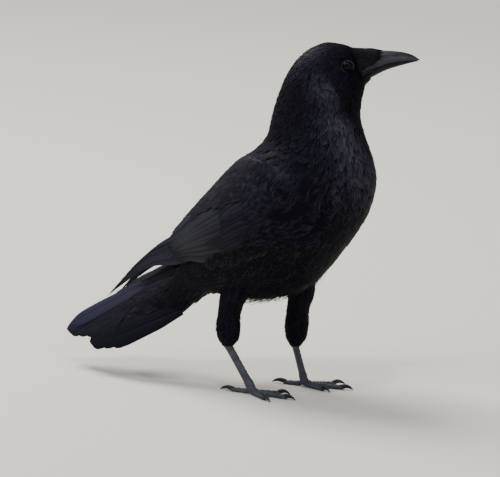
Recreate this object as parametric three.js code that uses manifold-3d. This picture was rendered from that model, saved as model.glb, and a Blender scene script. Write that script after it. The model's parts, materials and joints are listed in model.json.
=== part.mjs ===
// A standing crow at life size, as a still museum model. Millimetres, +Z up, floor at Z = 0.
// The bird faces +X and its left side is +Y. Its head is turned to its left, and its slightly
// opened tail is twisted so that the right side hangs lower. Sizes are named here, and the
// functions below turn them into closed bodies that keep a thin gap of air between them.
import * as THREE from 'three';
import { mergeVertices } from 'three/addons/utils/BufferGeometryUtils.js';
import Module from 'manifold-3d';

// ---------------------------------------------------------------- driving sizes
const GAP = 0.45;                // a cutter is swollen by this much, so pieces keep about 0.3 apart
const HEAD_TURN = 28;            // degrees the head looks to the bird's left
const NECK_X = 46;               // where the upright axis of that turn stands

// Slices of the plumage from face to tail. back and belly are (x, z) on the midline before the
// head turns, half is half the width, wide is how far down the slice is widest, turn is the share
// of the head's turn, and twist is the share of the tail's twist.
const BODY = [
  { at: 'bill_root', back: [81.5, 305], belly: [86, 278.5], half: 9, wide: 0.5, turn: 1, twist: 0 },
  { at: 'lore', back: [74.5, 308], belly: [85.5, 272.5], half: 14.3, wide: 0.48, turn: 1, twist: 0 },
  { at: 'brow', back: [64, 311.3], belly: [84, 266], half: 18, wide: 0.47, turn: 1, twist: 0 },
  { at: 'crown', back: [49.5, 312], belly: [83, 261], half: 20, wide: 0.5, turn: 1, twist: 0 },
  { at: 'occiput', back: [32.5, 303.5], belly: [82.5, 256], half: 22.5, wide: 0.52, turn: 1, twist: 0 },
  { at: 'nape', back: [20, 288.5], belly: [82, 250], half: 24.5, wide: 0.52, turn: 0.97, twist: 0 },
  { at: 'upper_neck', back: [10.5, 267], belly: [82.5, 243.5], half: 27, wide: 0.52, turn: 0.8, twist: 0 },
  { at: 'mid_neck', back: [4, 246], belly: [85, 235.5], half: 31, wide: 0.52, turn: 0.57, twist: 0 },
  { at: 'lower_neck', back: [-1, 228.5], belly: [90, 221.5], half: 37, wide: 0.52, turn: 0.32, twist: 0 },
  { at: 'shoulder', back: [-14, 214], belly: [96, 205], half: 44, wide: 0.5, turn: 0.1, twist: 0 },
  { at: 'breast', back: [-35, 194], belly: [97.5, 187], half: 49, wide: 0.5, turn: 0, twist: 0 },
  { at: 'ribs', back: [-53, 171], belly: [89, 160], half: 51, wide: 0.48, turn: 0, twist: 0 },
  { at: 'waist', back: [-67, 148], belly: [67, 128], half: 49, wide: 0.46, turn: 0, twist: 0 },
  { at: 'flank', back: [-77, 128], belly: [36, 95], half: 44, wide: 0.46, turn: 0, twist: 0 },
  { at: 'hip', back: [-84, 112], belly: [-6, 79], half: 37, wide: 0.46, turn: 0, twist: 0 },
  { at: 'vent', back: [-92, 99], belly: [-50, 78], half: 29, wide: 0.48, turn: 0, twist: 0.3 },
  { at: 'undertail', back: [-106, 86], belly: [-84, 58.5], half: 24, wide: 0.5, turn: 0, twist: 0.75 },
  { at: 'tail_root', back: [-124, 73], belly: [-112, 49], half: 19, wide: 0.5, turn: 0, twist: 1 },
];
const HEAD_END = 'nape';
const NECK_END = 'lower_neck';

// The bill, along x in the turned head: height of its ridge, of the mouth line and of its keel, and
// half its width. The brim is the lower edge of the bristles that lie over the nostrils.
const BILL = [
  { x: 76,   ridge: 303,   mouth: 284.2, keel: 276.5, half: 8.6 },
  { x: 84,   ridge: 304.9, mouth: 287.2, keel: 278.7, half: 8.8 },
  { x: 92,   ridge: 305.2, mouth: 290.6, keel: 282.2, half: 8.1 },
  { x: 102,  ridge: 305.3, mouth: 294.3, keel: 287.4, half: 6.8 },
  { x: 112,  ridge: 304.8, mouth: 296.2, keel: 291,   half: 5.2 },
  { x: 120,  ridge: 303.7, mouth: 296.9, keel: 293.2, half: 3.7 },
  { x: 127,  ridge: 301.3, mouth: 297.1, keel: 295.1, half: 2.2 },
  { x: 132.5, ridge: 297.8, mouth: 296.6, keel: 296.2, half: 0.7 },
];
const LOWER_END_X = 130.5;       // the lower bill ends under the overhanging tip of the upper one
const BRISTLES = { from: 78, to: 105, brimFrom: 289.5, brimTo: 302, thick: 1.7 };
const EYE = { x: 70.2, side: 11.4, z: 294.3, radius: 6.6 };

// Slices of a folded wing from the wrist to the ends of its feathers, for the left side. Each holds
// the upper edge, the fullest line, the lower edge (x, y, z) and the depth of the folded feathers.
const ARM = [
  { at: 'wrist',      upper: [45, 45, 205],  full: [58, 47.5, 198], lower: [66, 45, 188], thick: 4 },
  { at: 'marginal',   upper: [12, 39.5, 214], full: [38, 52, 194], lower: [60, 47, 170], thick: 7 },
  { at: 'elbow',      upper: [-21, 18, 209.5], full: [6, 53, 181], lower: [31, 52, 149], thick: 9 },
  { at: 'tertials',   upper: [-53, 9, 182],  full: [-22, 50, 162], lower: [-2, 53, 134],  thick: 9 },
  { at: 'secondaries', upper: [-80, 5, 154], full: [-52, 39, 145], lower: [-36, 47, 122], thick: 7 },
  { at: 'arm_tips',   upper: [-104, 4, 126.5], full: [-86, 22, 125], lower: [-70, 34, 117], thick: 3 },
];
const HAND = [
  { at: 'hidden',     upper: [-66, 9, 143],   full: [-54, 31, 132],  lower: [-44, 40, 120],  thick: 2.5 },
  { at: 'leaving',    upper: [-100, 9, 124],  full: [-90, 20, 117],  lower: [-79, 28, 110],  thick: 2.5 },
  { at: 'blade',      upper: [-126, 10, 104], full: [-121, 14, 102], lower: [-113, 18, 100], thick: 2 },
  { at: 'taper',      upper: [-146, 11, 84],  full: [-143, 12, 83],  lower: [-139, 14, 82],  thick: 1.6 },
  { at: 'point',      upper: [-160, 12, 69],  full: [-159, 12.3, 68.7], lower: [-158, 12.6, 68.4], thick: 1 },
];
const MIDLINE = 0.6;             // a wing stays this far on its own side of the back

// The tail: an axis from the quills to the tips, the twist that lowers the right side, the fan's
// angle between neighbours, and how far the outer feathers bend down like a roof.
const TAIL = {
  root: [-66, 105], tip: [-210, 28], twist: 40, fan: 0.45, feathers: 12,
  half: 12, thick: 0.9, layer: 0.5, roof: 9, start: 26, rootSpread: 3.2,
};
const SHORT_LOBE = { from: 3, cut: 20, drop: 1.5 };   // the lowered right feathers fall short

// Feathered thighs: centre and half sizes (fore and aft, across) of level slices, top to bottom.
const THIGH = {
  right: [[-14, -20, 114, 15, 13], [-18, -24, 99, 16, 14], [-24, -27, 84, 12.5, 11.5],
    [-28, -27, 70, 10.5, 10], [-30, -27, 57, 11, 10.5], [-31.5, -27, 48, 9.5, 8.5],
    [-32, -27, 43, 5.5, 5]],
  left: [[8, 20, 114, 15, 13], [12, 24, 98, 16, 13.5], [14.5, 27, 82, 12.5, 11.5],
    [11.5, 27, 66, 10.3, 10], [9.5, 27, 54, 10.8, 10.5], [8, 27, 44, 8.5, 8.5],
    [7, 27, 38.5, 4.6, 5]],
};
// A claw: how far along, its height, and its half width and half height.
const CLAW = [[-0.1, 2.7, 1.3, 1.5], [0.2, 3.1, 1.6, 2], [0.45, 3.4, 1.3, 1.7], [0.75, 2.5, 0.9, 1.1],
  [1, 0.75, 0.3, 0.35]];
const SHANK = { radius: 3.3, joint: 4.4, squash: 0.82 };
const LEGS = {
  right: { ankle: [-32.5, -27, 46], foot: [-6.5, -28, 7], heading: -4 },
  left:  { ankle: [5, 28, 45], foot: [20.8, 20, 7], heading: 4 },
};
// Toes: heading away from the foot's own (towards the bird's outside), length, number of pads.
const TOES = [
  { at: 'middle', heading: 2,   length: 37, pads: 3, radius: 2.7, claw: 11 },
  { at: 'inner',  heading: -25, length: 26, pads: 2, radius: 2.5, claw: 10 },
  { at: 'outer',  heading: 31,  length: 28, pads: 4, radius: 2.5, claw: 10 },
  { at: 'hind',   heading: 178, length: 19, pads: 1, radius: 2.6, claw: 13 },
];
// The knuckle that the toes spring from: ahead of the shank's foot, above it, and its two radii.
const KNUCKLE = [[-3.5, -2, 2.6, 2.6], [0, -2.2, 4.1, 4], [4.5, -3.4, 4, 3.2]];
const SOLE = 0.15;               // how far each pad is pressed flat by the floor
const HEXAGON = Math.sqrt(0.75); // a six-sided toe's flat bottom lies this many radii below its middle

const LOOKS = {
  plumage: { color: 0x0d0d12, roughness: 0.5, metalness: 0 },
  bill:    { color: 0x1b1c20, roughness: 0.35, metalness: 0 },
  skin:    { color: 0x3a4048, roughness: 0.55, metalness: 0 },
  claw:    { color: 0x15151a, roughness: 0.35, metalness: 0 },
  eye:     { color: 0x120b07, roughness: 0.08, metalness: 0 },
};

// How finely the curved bodies are faceted.
const AROUND = 20;
const RINGS_PER_SLICE = 2;
const ACROSS = 6;
const KNIFE = 0.35;              // the cut between head, neck and trunk

// ---------------------------------------------------------------- small tools
const rad = (degrees) => degrees * Math.PI / 180;
const point = (x, y, z) => new THREE.Vector3(x, y, z);
const count = (n) => [...Array(n).keys()];

// A smooth value through rows of numbers: t = 0 is the first row, t = n - 1 the last.
function through(rows, t) {
  const i = Math.min(Math.max(Math.floor(t), 0), rows.length - 2);
  const f = t - i;
  const a = rows[i];
  const b = rows[i + 1];
  const before = rows[i - 1] ?? a.map((v, k) => 2 * v - b[k]);
  const after = rows[i + 2] ?? b.map((v, k) => 2 * v - a[k]);
  return a.map((v, k) => {
    const cubic = 3 * (v - b[k]) + after[k] - before[k];
    const square = 2 * before[k] - 5 * v + 4 * b[k] - after[k];
    return v + 0.5 * f * (b[k] - before[k] + f * (square + f * cubic));
  });
}

// The triangles of a ring's end, laid like the rungs of a ladder from its first and last points.
function rungs(n) {
  const faces = [];
  for (let low = 0, high = n - 1; high - low > 1; low++, high--) {
    faces.push([low, low + 1, high]);
    if (high - low > 2) faces.push([low + 1, high - 1, high]);
  }
  return faces;
}

// A closed body through rings that have equally many points.
function loft(rings) {
  const n = rings[0].length;
  const end = rings.length - 1;
  const index = [];
  const at = (r, k) => r * n + k % n;
  for (const r of count(end)) {
    for (const k of count(n)) {
      index.push(at(r, k), at(r, k + 1), at(r + 1, k));
      index.push(at(r, k + 1), at(r + 1, k + 1), at(r + 1, k));
    }
  }
  for (const [a, b, c] of rungs(n)) {
    index.push(at(0, c), at(0, b), at(0, a));
    index.push(at(end, a), at(end, b), at(end, c));
  }
  const geometry = new THREE.BufferGeometry().setFromPoints(rings.flat());
  geometry.setIndex(index);
  return solid(geometry);
}

const wasm = await Module();
wasm.setup();

// A manifold-3d solid from a closed geometry, turned right side out if its faces point inwards.
function solid(geometry) {
  const bare = new THREE.BufferGeometry();
  bare.setAttribute('position', geometry.getAttribute('position'));
  bare.setIndex(geometry.index);
  const merged = mergeVertices(bare, 1e-4);
  const make = (triVerts) => new wasm.Manifold(new wasm.Mesh({
    numProp: 3,
    vertProperties: merged.attributes.position.array,
    triVerts,
  }));
  const faces = new Uint32Array(merged.index.array);
  const made = make(faces);
  return made.volume() > 0 ? made : make(faces.reverse());
}

function geometryOf(made) {
  const mesh = made.getMesh();
  const geometry = new THREE.BufferGeometry();
  geometry.setAttribute('position', new THREE.BufferAttribute(mesh.vertProperties, mesh.numProp));
  geometry.setIndex(new THREE.BufferAttribute(mesh.triVerts, 1));
  return geometry;
}

// The same body with every point moved outwards along its normal.
function swollen(made, by = GAP) {
  const geometry = geometryOf(made);
  geometry.computeVertexNormals();
  const { position, normal } = geometry.attributes;
  for (const i of count(position.count)) {
    position.setXYZ(i, position.getX(i) + by * normal.getX(i),
      position.getY(i) + by * normal.getY(i), position.getZ(i) + by * normal.getZ(i));
  }
  return solid(geometry);
}

// A body less its neighbours and the air round them.
function cut(made, ...others) {
  return others.reduce((left, other) => left.subtract(swollen(other)).subtract(other), made);
}

const join = (first, ...rest) => rest.reduce((all, one) => all.add(one), first);

// ---------------------------------------------------------------- plumage of head, neck and trunk
const bodyRows = BODY.map((s) => [...s.back, ...s.belly, s.half, s.wide, s.turn, s.twist]);
const slice = (name) => BODY.findIndex((s) => s.at === name);

// Turns a point of the head about the upright axis in the neck.
function turned(p, share = 1) {
  return p.clone().sub(point(NECK_X, 0, 0))
    .applyAxisAngle(point(0, 0, 1), rad(HEAD_TURN) * share)
    .add(point(NECK_X, 0, 0));
}

// Two half ellipses that meet on the widest line, twisted with the tail, turned with the neck.
function bodyRing(t) {
  const [backX, backZ, bellyX, bellyZ, half, wide, turn, twist] = through(bodyRows, t);
  const back = point(backX, 0, backZ);
  const down = point(bellyX, 0, bellyZ).sub(back);
  const depth = down.length();
  down.normalize();
  const centre = back.clone().addScaledVector(down, depth * wide);
  const axis = point(0, 1, 0).cross(down).normalize();
  return count(AROUND).map((k) => {
    const a = 2 * Math.PI * k / AROUND;
    const low = -Math.cos(a) * depth * (Math.cos(a) > 0 ? wide : 1 - wide);
    const p = down.clone().multiplyScalar(low).add(point(0, half * Math.sin(a), 0));
    p.applyAxisAngle(axis, -rad(TAIL.twist) * twist);
    return turned(p.add(centre), turn);
  });
}

function wholeBody() {
  const rings = RINGS_PER_SLICE * (BODY.length - 1) + 1;
  return loft(count(rings).map((i) => bodyRing(i / RINGS_PER_SLICE)));
}

// A thin flat plate through the slice of that name, wider than the body there.
function knife(name) {
  const ring = bodyRing(slice(name));
  const centre = ring.reduce((sum, p) => sum.add(p), point(0, 0, 0)).divideScalar(AROUND);
  const across = ring[0].clone().sub(centre);
  const normal = across.cross(ring[AROUND / 4].clone().sub(centre)).setLength(KNIFE / 2);
  const wide = ring.map((p) => p.sub(centre).multiplyScalar(1.2).add(centre));
  return loft([wide.map((p) => p.clone().sub(normal)), wide.map((p) => p.clone().add(normal))]);
}

// The body parted by knives into its separate lengths, from the highest down.
function parted(made, knives) {
  const middle = (one) => one.boundingBox().max[2] + one.boundingBox().min[2];
  const pieces = knives.reduce((left, blade) => left.subtract(blade), made).decompose();
  return pieces.sort((a, b) => middle(b) - middle(a));
}

// ---------------------------------------------------------------- bill and eyes
const billRows = BILL.map((s) => [s.x, s.ridge, s.mouth, s.keel, s.half]);

// One slice of the bill between two heights, round on the side away from the mouth.
function billRing(x, top, bottom, half, roundTop) {
  const rise = top - bottom;
  return count(10).map((k) => {
    const a = 2 * Math.PI * k / 10;
    const height = (Math.sin(a) + 1) / 2;
    const away = roundTop ? height : 1 - height;
    const width = half * Math.sign(Math.cos(a)) * Math.sqrt(Math.max(0, 1 - away ** 2.2))
      * (Math.abs(Math.cos(a)) < 0.01 ? 0 : 1);
    return turned(point(x, width, bottom + rise * height));
  });
}

function billPart(upper, endX = BILL.at(-1).x) {
  const rings = [];
  for (const i of count(13)) {
    const [x, ridge, mouth, keel, half] = through(billRows, (BILL.length - 1) * i / 12);
    if (x > endX) break;
    const lip = mouth - GAP;
    if (upper) rings.push(billRing(x, ridge, mouth, half, true));
    else rings.push(billRing(x, lip, Math.min(keel, lip - 0.5), half * 0.93, false));
  }
  return loft(rings);
}

// The stiff feathers that lie forward over the nostrils, a thin saddle on the upper bill.
function bristles() {
  const { from, to, brimFrom, brimTo, thick } = BRISTLES;
  return loft(count(7).map((i) => {
    const f = i / 6;
    const x = from + (to - from) * f;
    const t = BILL.findIndex((s) => s.x > x) - 1;
    const u = t + (x - BILL[t].x) / (BILL[t + 1].x - BILL[t].x);
    const [, ridge, , , half] = through(billRows, u);
    const depth = thick * (1 - 0.55 * f ** 3);
    const brim = brimFrom + (brimTo - brimFrom) * f;
    return billRing(x, ridge + 0.6 * depth, brim, half + depth, true);
  }));
}

function eye(side) {
  const ball = new THREE.SphereGeometry(EYE.radius, 12, 8);
  const made = solid(ball);
  const place = turned(point(EYE.x, side * EYE.side, EYE.z));
  return made.translate([place.x, place.y, place.z]);
}

// ---------------------------------------------------------------- wings
const wingRows = (slices) => slices.map((s) => [...s.upper, ...s.full, ...s.lower, s.thick]);

// A point on the bow from the upper edge over the fullest line to the lower edge, f = 0 to 1.
function bow(row, f) {
  const [a, m, b] = [0, 3, 6].map((k) => point(row[k], row[k + 1], row[k + 2]));
  const control = m.multiplyScalar(2).sub(a.clone().add(b).multiplyScalar(0.5));
  a.multiplyScalar((1 - f) ** 2);
  return a.addScaledVector(control, 2 * f * (1 - f)).addScaledVector(b, f * f);
}

function wingShell(slices, steps, side) {
  const rows = wingRows(slices);
  const last = rows.length - 1;
  return loft(count(steps + 1).map((i) => {
    const t = last * i / steps;
    const row = through(rows, t);
    const near = through(rows, Math.max(t - 0.05, 0));
    const far = through(rows, Math.min(t + 0.05, last));
    const outer = [];
    const inner = [];
    for (const k of count(ACROSS + 1)) {
      const f = k / ACROSS;
      const p = bow(row, f);
      const along = bow(far, f).sub(bow(near, f));
      const across = bow(row, Math.min(f + 0.02, 1)).sub(bow(row, Math.max(f - 0.02, 0)));
      const out = along.cross(across).normalize();
      if (out.y + out.z < 0) out.negate();
      const depth = row[9] * (0.3 + 0.7 * Math.sqrt(1 - (2 * f - 1) ** 4));
      outer.push(p);
      inner.push(p.clone().addScaledVector(out, -depth));
    }
    return [...outer, ...inner.reverse()].map((p) => point(p.x, side * Math.max(p.y, MIDLINE), p.z));
  }));
}

// ---------------------------------------------------------------- tail
function tailFrame() {
  const [rootX, rootZ] = TAIL.root;
  const [tipX, tipZ] = TAIL.tip;
  const along = point(tipX - rootX, 0, tipZ - rootZ);
  const length = along.length();
  along.normalize();
  const left = point(0, 1, 0).applyAxisAngle(along, -rad(TAIL.twist));
  const up = along.clone().cross(left).normalize();
  if (up.z < 0) up.negate();
  return { root: point(rootX, 0, rootZ), along, left, up, length };
}

// One tail feather; place runs from -5.5, the outermost on the right, to 5.5 on the left.
function tailFeather(place) {
  const { root, along, left, up, length } = tailFrame();
  const outward = Math.abs(place);
  const lowered = place < -SHORT_LOBE.from;
  const reach = length - 2.2 * outward - (lowered ? SHORT_LOBE.cut : 0);
  const angle = rad(TAIL.fan) * place - (lowered ? rad(SHORT_LOBE.drop) : 0);
  const steps = 5;
  return loft(count(steps + 1).map((i) => {
    const share = 1 - (1 - i / steps) ** 1.5;
    const s = TAIL.start + (reach - TAIL.start) * share;
    const grown = Math.min(1, 0.45 + share * 1.4);
    const tip = Math.sqrt(Math.max(0.02, 1 - Math.max(0, (share - 0.84) / 0.16) ** 2));
    const half = TAIL.half * grown * tip;
    const centre = TAIL.rootSpread * place + s * Math.sin(angle);
    const ring = (face) => [-1, 1].map((f) => {
      const lateral = centre + f * half;
      const roof = -TAIL.roof * (lateral / 40) ** 2 - TAIL.layer * outward;
      return root.clone().addScaledVector(along, s * Math.cos(angle))
        .addScaledVector(left, lateral).addScaledVector(up, roof + face * TAIL.thick / 2);
    });
    return [...ring(1), ...ring(-1).reverse()];
  }));
}

function tail() {
  const places = count(TAIL.feathers).map((k) => k - (TAIL.feathers - 1) / 2);
  return join(...places.map(tailFeather));
}

// ---------------------------------------------------------------- legs and feet
const levelRing = ([x, y, z, fore, across], n = 14) => count(n).map((k) => {
  const a = 2 * Math.PI * k / n;
  return point(x + fore * Math.cos(a), y + across * Math.sin(a), z);
});

function thigh(side) {
  const rows = THIGH[side];
  const steps = 10;
  return loft(count(steps + 1).map((i) => levelRing(through(rows, (rows.length - 1) * i / steps))));
}

// Rings square to a path, pressed flat where they meet the floor. Each row holds the centre, the
// radius across and the radius upwards.
function limb(rows, steps, n = 10) {
  const last = rows.length - 1;
  return loft(count(steps + 1).map((i) => {
    const t = last * i / steps;
    const [x, y, z, wide, tall] = through(rows, t);
    const next = through(rows, Math.min(t + 0.1, last));
    const prior = through(rows, Math.max(t - 0.1, 0));
    const along = point(next[0] - prior[0], next[1] - prior[1], next[2] - prior[2]).normalize();
    const side = along.clone().cross(point(0, 0, 1)).normalize();
    const up = side.clone().cross(along);
    return count(n).map((k) => {
      const a = 2 * Math.PI * k / n;
      const p = point(x, y, z).addScaledVector(side, wide * Math.cos(a));
      p.addScaledVector(up, tall * Math.sin(a));
      return p.setZ(Math.max(p.z, 0));
    });
  }));
}

function shank(side) {
  const { ankle, foot } = LEGS[side];
  const { radius, joint, squash } = SHANK;
  const fullness = [[0, joint * 0.7], [0.06, joint], [0.18, radius * 1.05], [0.5, radius],
    [0.85, radius * 1.05], [0.97, radius * 1.3], [1.04, radius]];
  const along = (f) => ankle.map((v, k) => v + (foot[k] - v) * f);
  return limb(fullness.map(([f, r]) => [...along(f), r * squash, r]), 10, 8);
}

// The heading of a toe, seen from above: outwards is away from the other leg.
function toeHeading(side, toe) {
  const outward = side === 'left' ? 1 : -1;
  return rad(outward * (LEGS[side].heading * outward + toe.heading));
}

function toePoint(side, toe, distance, z) {
  const [x, y] = LEGS[side].foot;
  const heading = toeHeading(side, toe);
  return [x + distance * Math.cos(heading), y + distance * Math.sin(heading), z];
}

function toeBody(side, toe) {
  const steps = 2 * toe.pads + 3;
  return limb(count(steps + 1).map((i) => {
    const f = i / steps;
    const full = toe.radius * (1 - 0.22 * f);
    const r = full * (0.82 + 0.18 * Math.cos(2 * Math.PI * f * (toe.pads + 0.5)) ** 2);
    const rise = 3.2 * Math.max(0, 1 - f * 5);
    return [...toePoint(side, toe, toe.length * f, full * HEXAGON - SOLE + rise), r * 1.05, r];
  }), steps, 6);
}

function foot(side) {
  const [x, y, z] = LEGS[side].foot;
  const knuckle = KNUCKLE.map(([ahead, up, wide, tall]) => [x + ahead, y, z + up, wide, tall]);
  return join(limb(knuckle, 4), ...TOES.map((toe) => toeBody(side, toe)));
}

function claw(side, toe) {
  const start = toe.length - 1.2;
  const place = (f, z) => toePoint(side, toe, start + toe.claw * f, z);
  return limb(CLAW.map(([f, z, wide, tall]) => [...place(f, z), wide, tall]), 4, 5);
}

// ---------------------------------------------------------------- the crow
const crow = new THREE.Group();

function add(name, made, look) {
  const mesh = new THREE.Mesh(geometryOf(made), new THREE.MeshStandardMaterial(LOOKS[look]));
  mesh.name = name;
  crow.add(mesh);
}

const SIDES = ['right', 'left'];
const pair = (make) => [make(-1), make(1)];
const eyes = pair(eye);
const arms = pair((sign) => wingShell(ARM, 11, sign));
const hands = pair((sign) => wingShell(HAND, 7, sign));

const upperBill = billPart(true);
const lowerBill = billPart(false, LOWER_END_X);
const [head, neck, trunk] = parted(wholeBody(), [knife(HEAD_END), knife(NECK_END)]);

add('head', cut(join(head, bristles()), upperBill, lowerBill, ...eyes), 'plumage');
add('neck', cut(neck, ...arms), 'plumage');
add('trunk', cut(trunk, ...arms, ...hands), 'plumage');
add('tail', cut(tail(), trunk, ...hands), 'plumage');
add('bill_upper', upperBill, 'bill');
add('bill_lower', lowerBill, 'bill');
for (const [i, side] of SIDES.entries()) {
  const thighWhole = thigh(side);
  const shankWhole = shank(side);
  add('eye_' + side, eyes[i], 'eye');
  add('wing_' + side, arms[i], 'plumage');
  add('primaries_' + side, cut(hands[i], arms[i]), 'plumage');
  add('thigh_' + side, cut(thighWhole, trunk), 'plumage');
  add('shank_' + side, cut(shankWhole, thighWhole), 'skin');
  add('foot_' + side, cut(foot(side), shankWhole), 'skin');
  for (const toe of TOES) {
    add(`claw_${side}_${toe.at}`, cut(claw(side, toe), toeBody(side, toe)), 'claw');
  }
}

// The origin goes to the middle of the crow's box, at floor level.
const box = new THREE.Box3().setFromObject(crow);
crow.position.set(-(box.min.x + box.max.x) / 2, -(box.min.y + box.max.y) / 2, -box.min.z);

export default crow;
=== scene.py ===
# %% [markdown]
# # A standing crow
# This lesson dresses the solids of a life-size crow as a museum model. The solids are loaded as a
# frame that nothing may move. Round them go one skin and many layers of feathers, each a surface
# worked out with numpy. All sizes below are millimetres in the bird's own drawing, where it faces
# +X, its left is +Y, and the floor is Z = 0. Only `to_frame` turns them into metres in the frame.

# %% Load the frame and keep its box
import json
import math
import bpy
import numpy as np
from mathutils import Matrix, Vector

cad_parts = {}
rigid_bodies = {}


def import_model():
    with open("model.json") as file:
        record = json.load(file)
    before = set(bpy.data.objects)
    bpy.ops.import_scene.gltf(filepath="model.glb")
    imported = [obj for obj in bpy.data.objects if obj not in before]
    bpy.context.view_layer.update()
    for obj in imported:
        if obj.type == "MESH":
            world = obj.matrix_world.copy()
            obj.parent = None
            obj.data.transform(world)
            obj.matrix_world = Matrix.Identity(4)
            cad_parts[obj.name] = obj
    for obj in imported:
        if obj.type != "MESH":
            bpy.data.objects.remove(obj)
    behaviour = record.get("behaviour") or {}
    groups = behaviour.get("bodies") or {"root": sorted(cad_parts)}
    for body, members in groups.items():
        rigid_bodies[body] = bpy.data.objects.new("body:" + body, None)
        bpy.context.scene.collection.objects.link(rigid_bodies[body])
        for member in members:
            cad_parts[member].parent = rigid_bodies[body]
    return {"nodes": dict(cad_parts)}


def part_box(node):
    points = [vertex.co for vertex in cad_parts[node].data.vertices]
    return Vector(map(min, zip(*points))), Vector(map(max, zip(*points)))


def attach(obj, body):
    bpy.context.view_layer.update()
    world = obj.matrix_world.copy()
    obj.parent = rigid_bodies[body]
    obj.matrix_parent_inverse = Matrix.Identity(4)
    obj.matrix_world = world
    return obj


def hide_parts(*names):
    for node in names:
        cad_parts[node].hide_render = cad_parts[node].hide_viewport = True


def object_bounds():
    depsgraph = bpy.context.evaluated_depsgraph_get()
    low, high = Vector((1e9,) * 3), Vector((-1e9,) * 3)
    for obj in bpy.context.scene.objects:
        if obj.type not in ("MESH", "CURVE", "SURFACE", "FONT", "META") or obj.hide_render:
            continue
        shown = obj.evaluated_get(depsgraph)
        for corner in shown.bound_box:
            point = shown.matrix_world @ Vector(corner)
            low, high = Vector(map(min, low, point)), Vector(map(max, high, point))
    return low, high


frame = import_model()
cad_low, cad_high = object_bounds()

print("solids:", len(frame["nodes"]), "box:", [round(1000 * x) for x in cad_high - cad_low], "mm")

# %% [markdown]
# The drawing of the body is a row of slices from face to tail. A value between two slices could be
# read off a straight line, but that would show as creases, so a smooth cubic runs through them.
# The same sizes shaped the solids, so whatever is laid on this drawing fits the frame.

# %% The slices of the body
# back x, back z, belly x, belly z, half width, where it is widest, share of head turn, of tail twist
BODY = np.array([
    [81.5, 305, 86, 278.5, 9, 0.50, 1, 0],         # 0 bill root
    [74.5, 308, 85.5, 272.5, 14.3, 0.48, 1, 0],    # 1 lore
    [64, 311.3, 84, 266, 18, 0.47, 1, 0],          # 2 brow
    [49.5, 312, 83, 261, 20, 0.50, 1, 0],          # 3 crown
    [32.5, 303.5, 82.5, 256, 22.5, 0.52, 1, 0],    # 4 occiput
    [20, 288.5, 82, 250, 24.5, 0.52, 0.97, 0],     # 5 nape
    [10.5, 267, 82.5, 243.5, 27, 0.52, 0.80, 0],   # 6 upper neck
    [4, 246, 85, 235.5, 31, 0.52, 0.57, 0],        # 7 middle of the neck
    [-1, 228.5, 90, 221.5, 37, 0.52, 0.32, 0],     # 8 lower neck
    [-14, 214, 96, 205, 44, 0.50, 0.10, 0],        # 9 shoulder
    [-35, 194, 97.5, 187, 49, 0.50, 0, 0],         # 10 breast
    [-53, 171, 89, 160, 51, 0.48, 0, 0],           # 11 ribs
    [-67, 148, 67, 128, 49, 0.46, 0, 0],           # 12 waist
    [-77, 128, 36, 95, 44, 0.46, 0, 0],            # 13 flank
    [-84, 112, -6, 79, 37, 0.46, 0, 0],            # 14 hip
    [-92, 99, -50, 78, 29, 0.48, 0, 0.3],          # 15 vent
    [-106, 86, -84, 58.5, 24, 0.50, 0, 0.75],      # 16 undertail
    [-124, 73, -112, 49, 19, 0.50, 0, 1],          # 17 tail root
], float)
HEAD_TURN = math.radians(28)     # the head looks to the bird's left
TAIL_TWIST = math.radians(40)    # the tail's right side hangs lower
NECK_X = 46.0                    # the upright axis of the head's turn
UP = np.array([0.0, 0.0, 1.0])
LEFT = np.array([0.0, 1.0, 0.0])
print("slices of the body:", len(BODY))

# %% Vectors, and a smooth curve through rows


def unit(v):
    """Each vector divided by its own length."""
    return v / np.maximum(np.linalg.norm(v, axis=-1, keepdims=True), 1e-12)


def dot(a, b):
    """The sum of the products of two vectors' numbers."""
    return (a * b).sum(-1)


def through(rows, t):
    """A cubic through rows of numbers: at t = 0 it is the first row, at t = 1 the second, and its
    slope at each row is half the way from the row before to the row after."""
    t = np.asarray(t, float)
    i = np.clip(np.floor(t).astype(int), 0, len(rows) - 2)
    f = (t - i)[..., None]
    longer = np.vstack([2 * rows[0] - rows[1], rows, 2 * rows[-1] - rows[-2]])
    before, a, b, after = (longer[i + k] for k in range(4))
    cubic = 3 * (a - b) + after - before
    square = 2 * before - 5 * a + 4 * b - after
    return a + 0.5 * f * (b - before + f * (square + f * cubic))


def spin(points, axis, angle):
    """Points turned about an axis through the origin: the part along the axis stays, the part
    square to it is shared between itself and the cross product by cosine and sine."""
    axis = np.broadcast_to(axis, points.shape)
    c, s = np.cos(angle)[..., None], np.sin(angle)[..., None]
    return points * c + np.cross(axis, points) * s + axis * dot(axis, points)[..., None] * (1 - c)


# %% The surface of the body


def head_turned(points, share=1.0):
    """Points of the head turned about the upright axis of the neck by a share of its turn."""
    pivot = np.array([NECK_X, 0, 0])
    share = np.broadcast_to(share, points.shape[:-1])
    return spin(points - pivot, UP, HEAD_TURN * share) + pivot


def body(u, v):
    """The plumage of the body at slice u and turn v, from the back (0) by the left side (0.25) to
    the belly (0.5): two half ellipses that meet on the widest line, twisted with the tail and
    turned with the neck."""
    u, v = np.broadcast_arrays(u, v)
    row = through(BODY, u)
    zero = np.zeros_like(row[..., 0])
    back = np.stack([row[..., 0], zero, row[..., 1]], -1)
    down = np.stack([row[..., 2], zero, row[..., 3]], -1) - back
    depth = np.linalg.norm(down, axis=-1, keepdims=True)
    down = down / depth
    wide = row[..., 5:6]
    c, s = np.cos(2 * np.pi * v)[..., None], np.sin(2 * np.pi * v)[..., None]
    low = -c * depth * np.where(c > 0, wide, 1 - wide)
    ring = down * low + LEFT * row[..., 4:5] * s
    ring = spin(ring, unit(np.cross(LEFT, down)), -TAIL_TWIST * row[..., 7])
    return head_turned(ring + back + down * depth * wide, row[..., 6])


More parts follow.
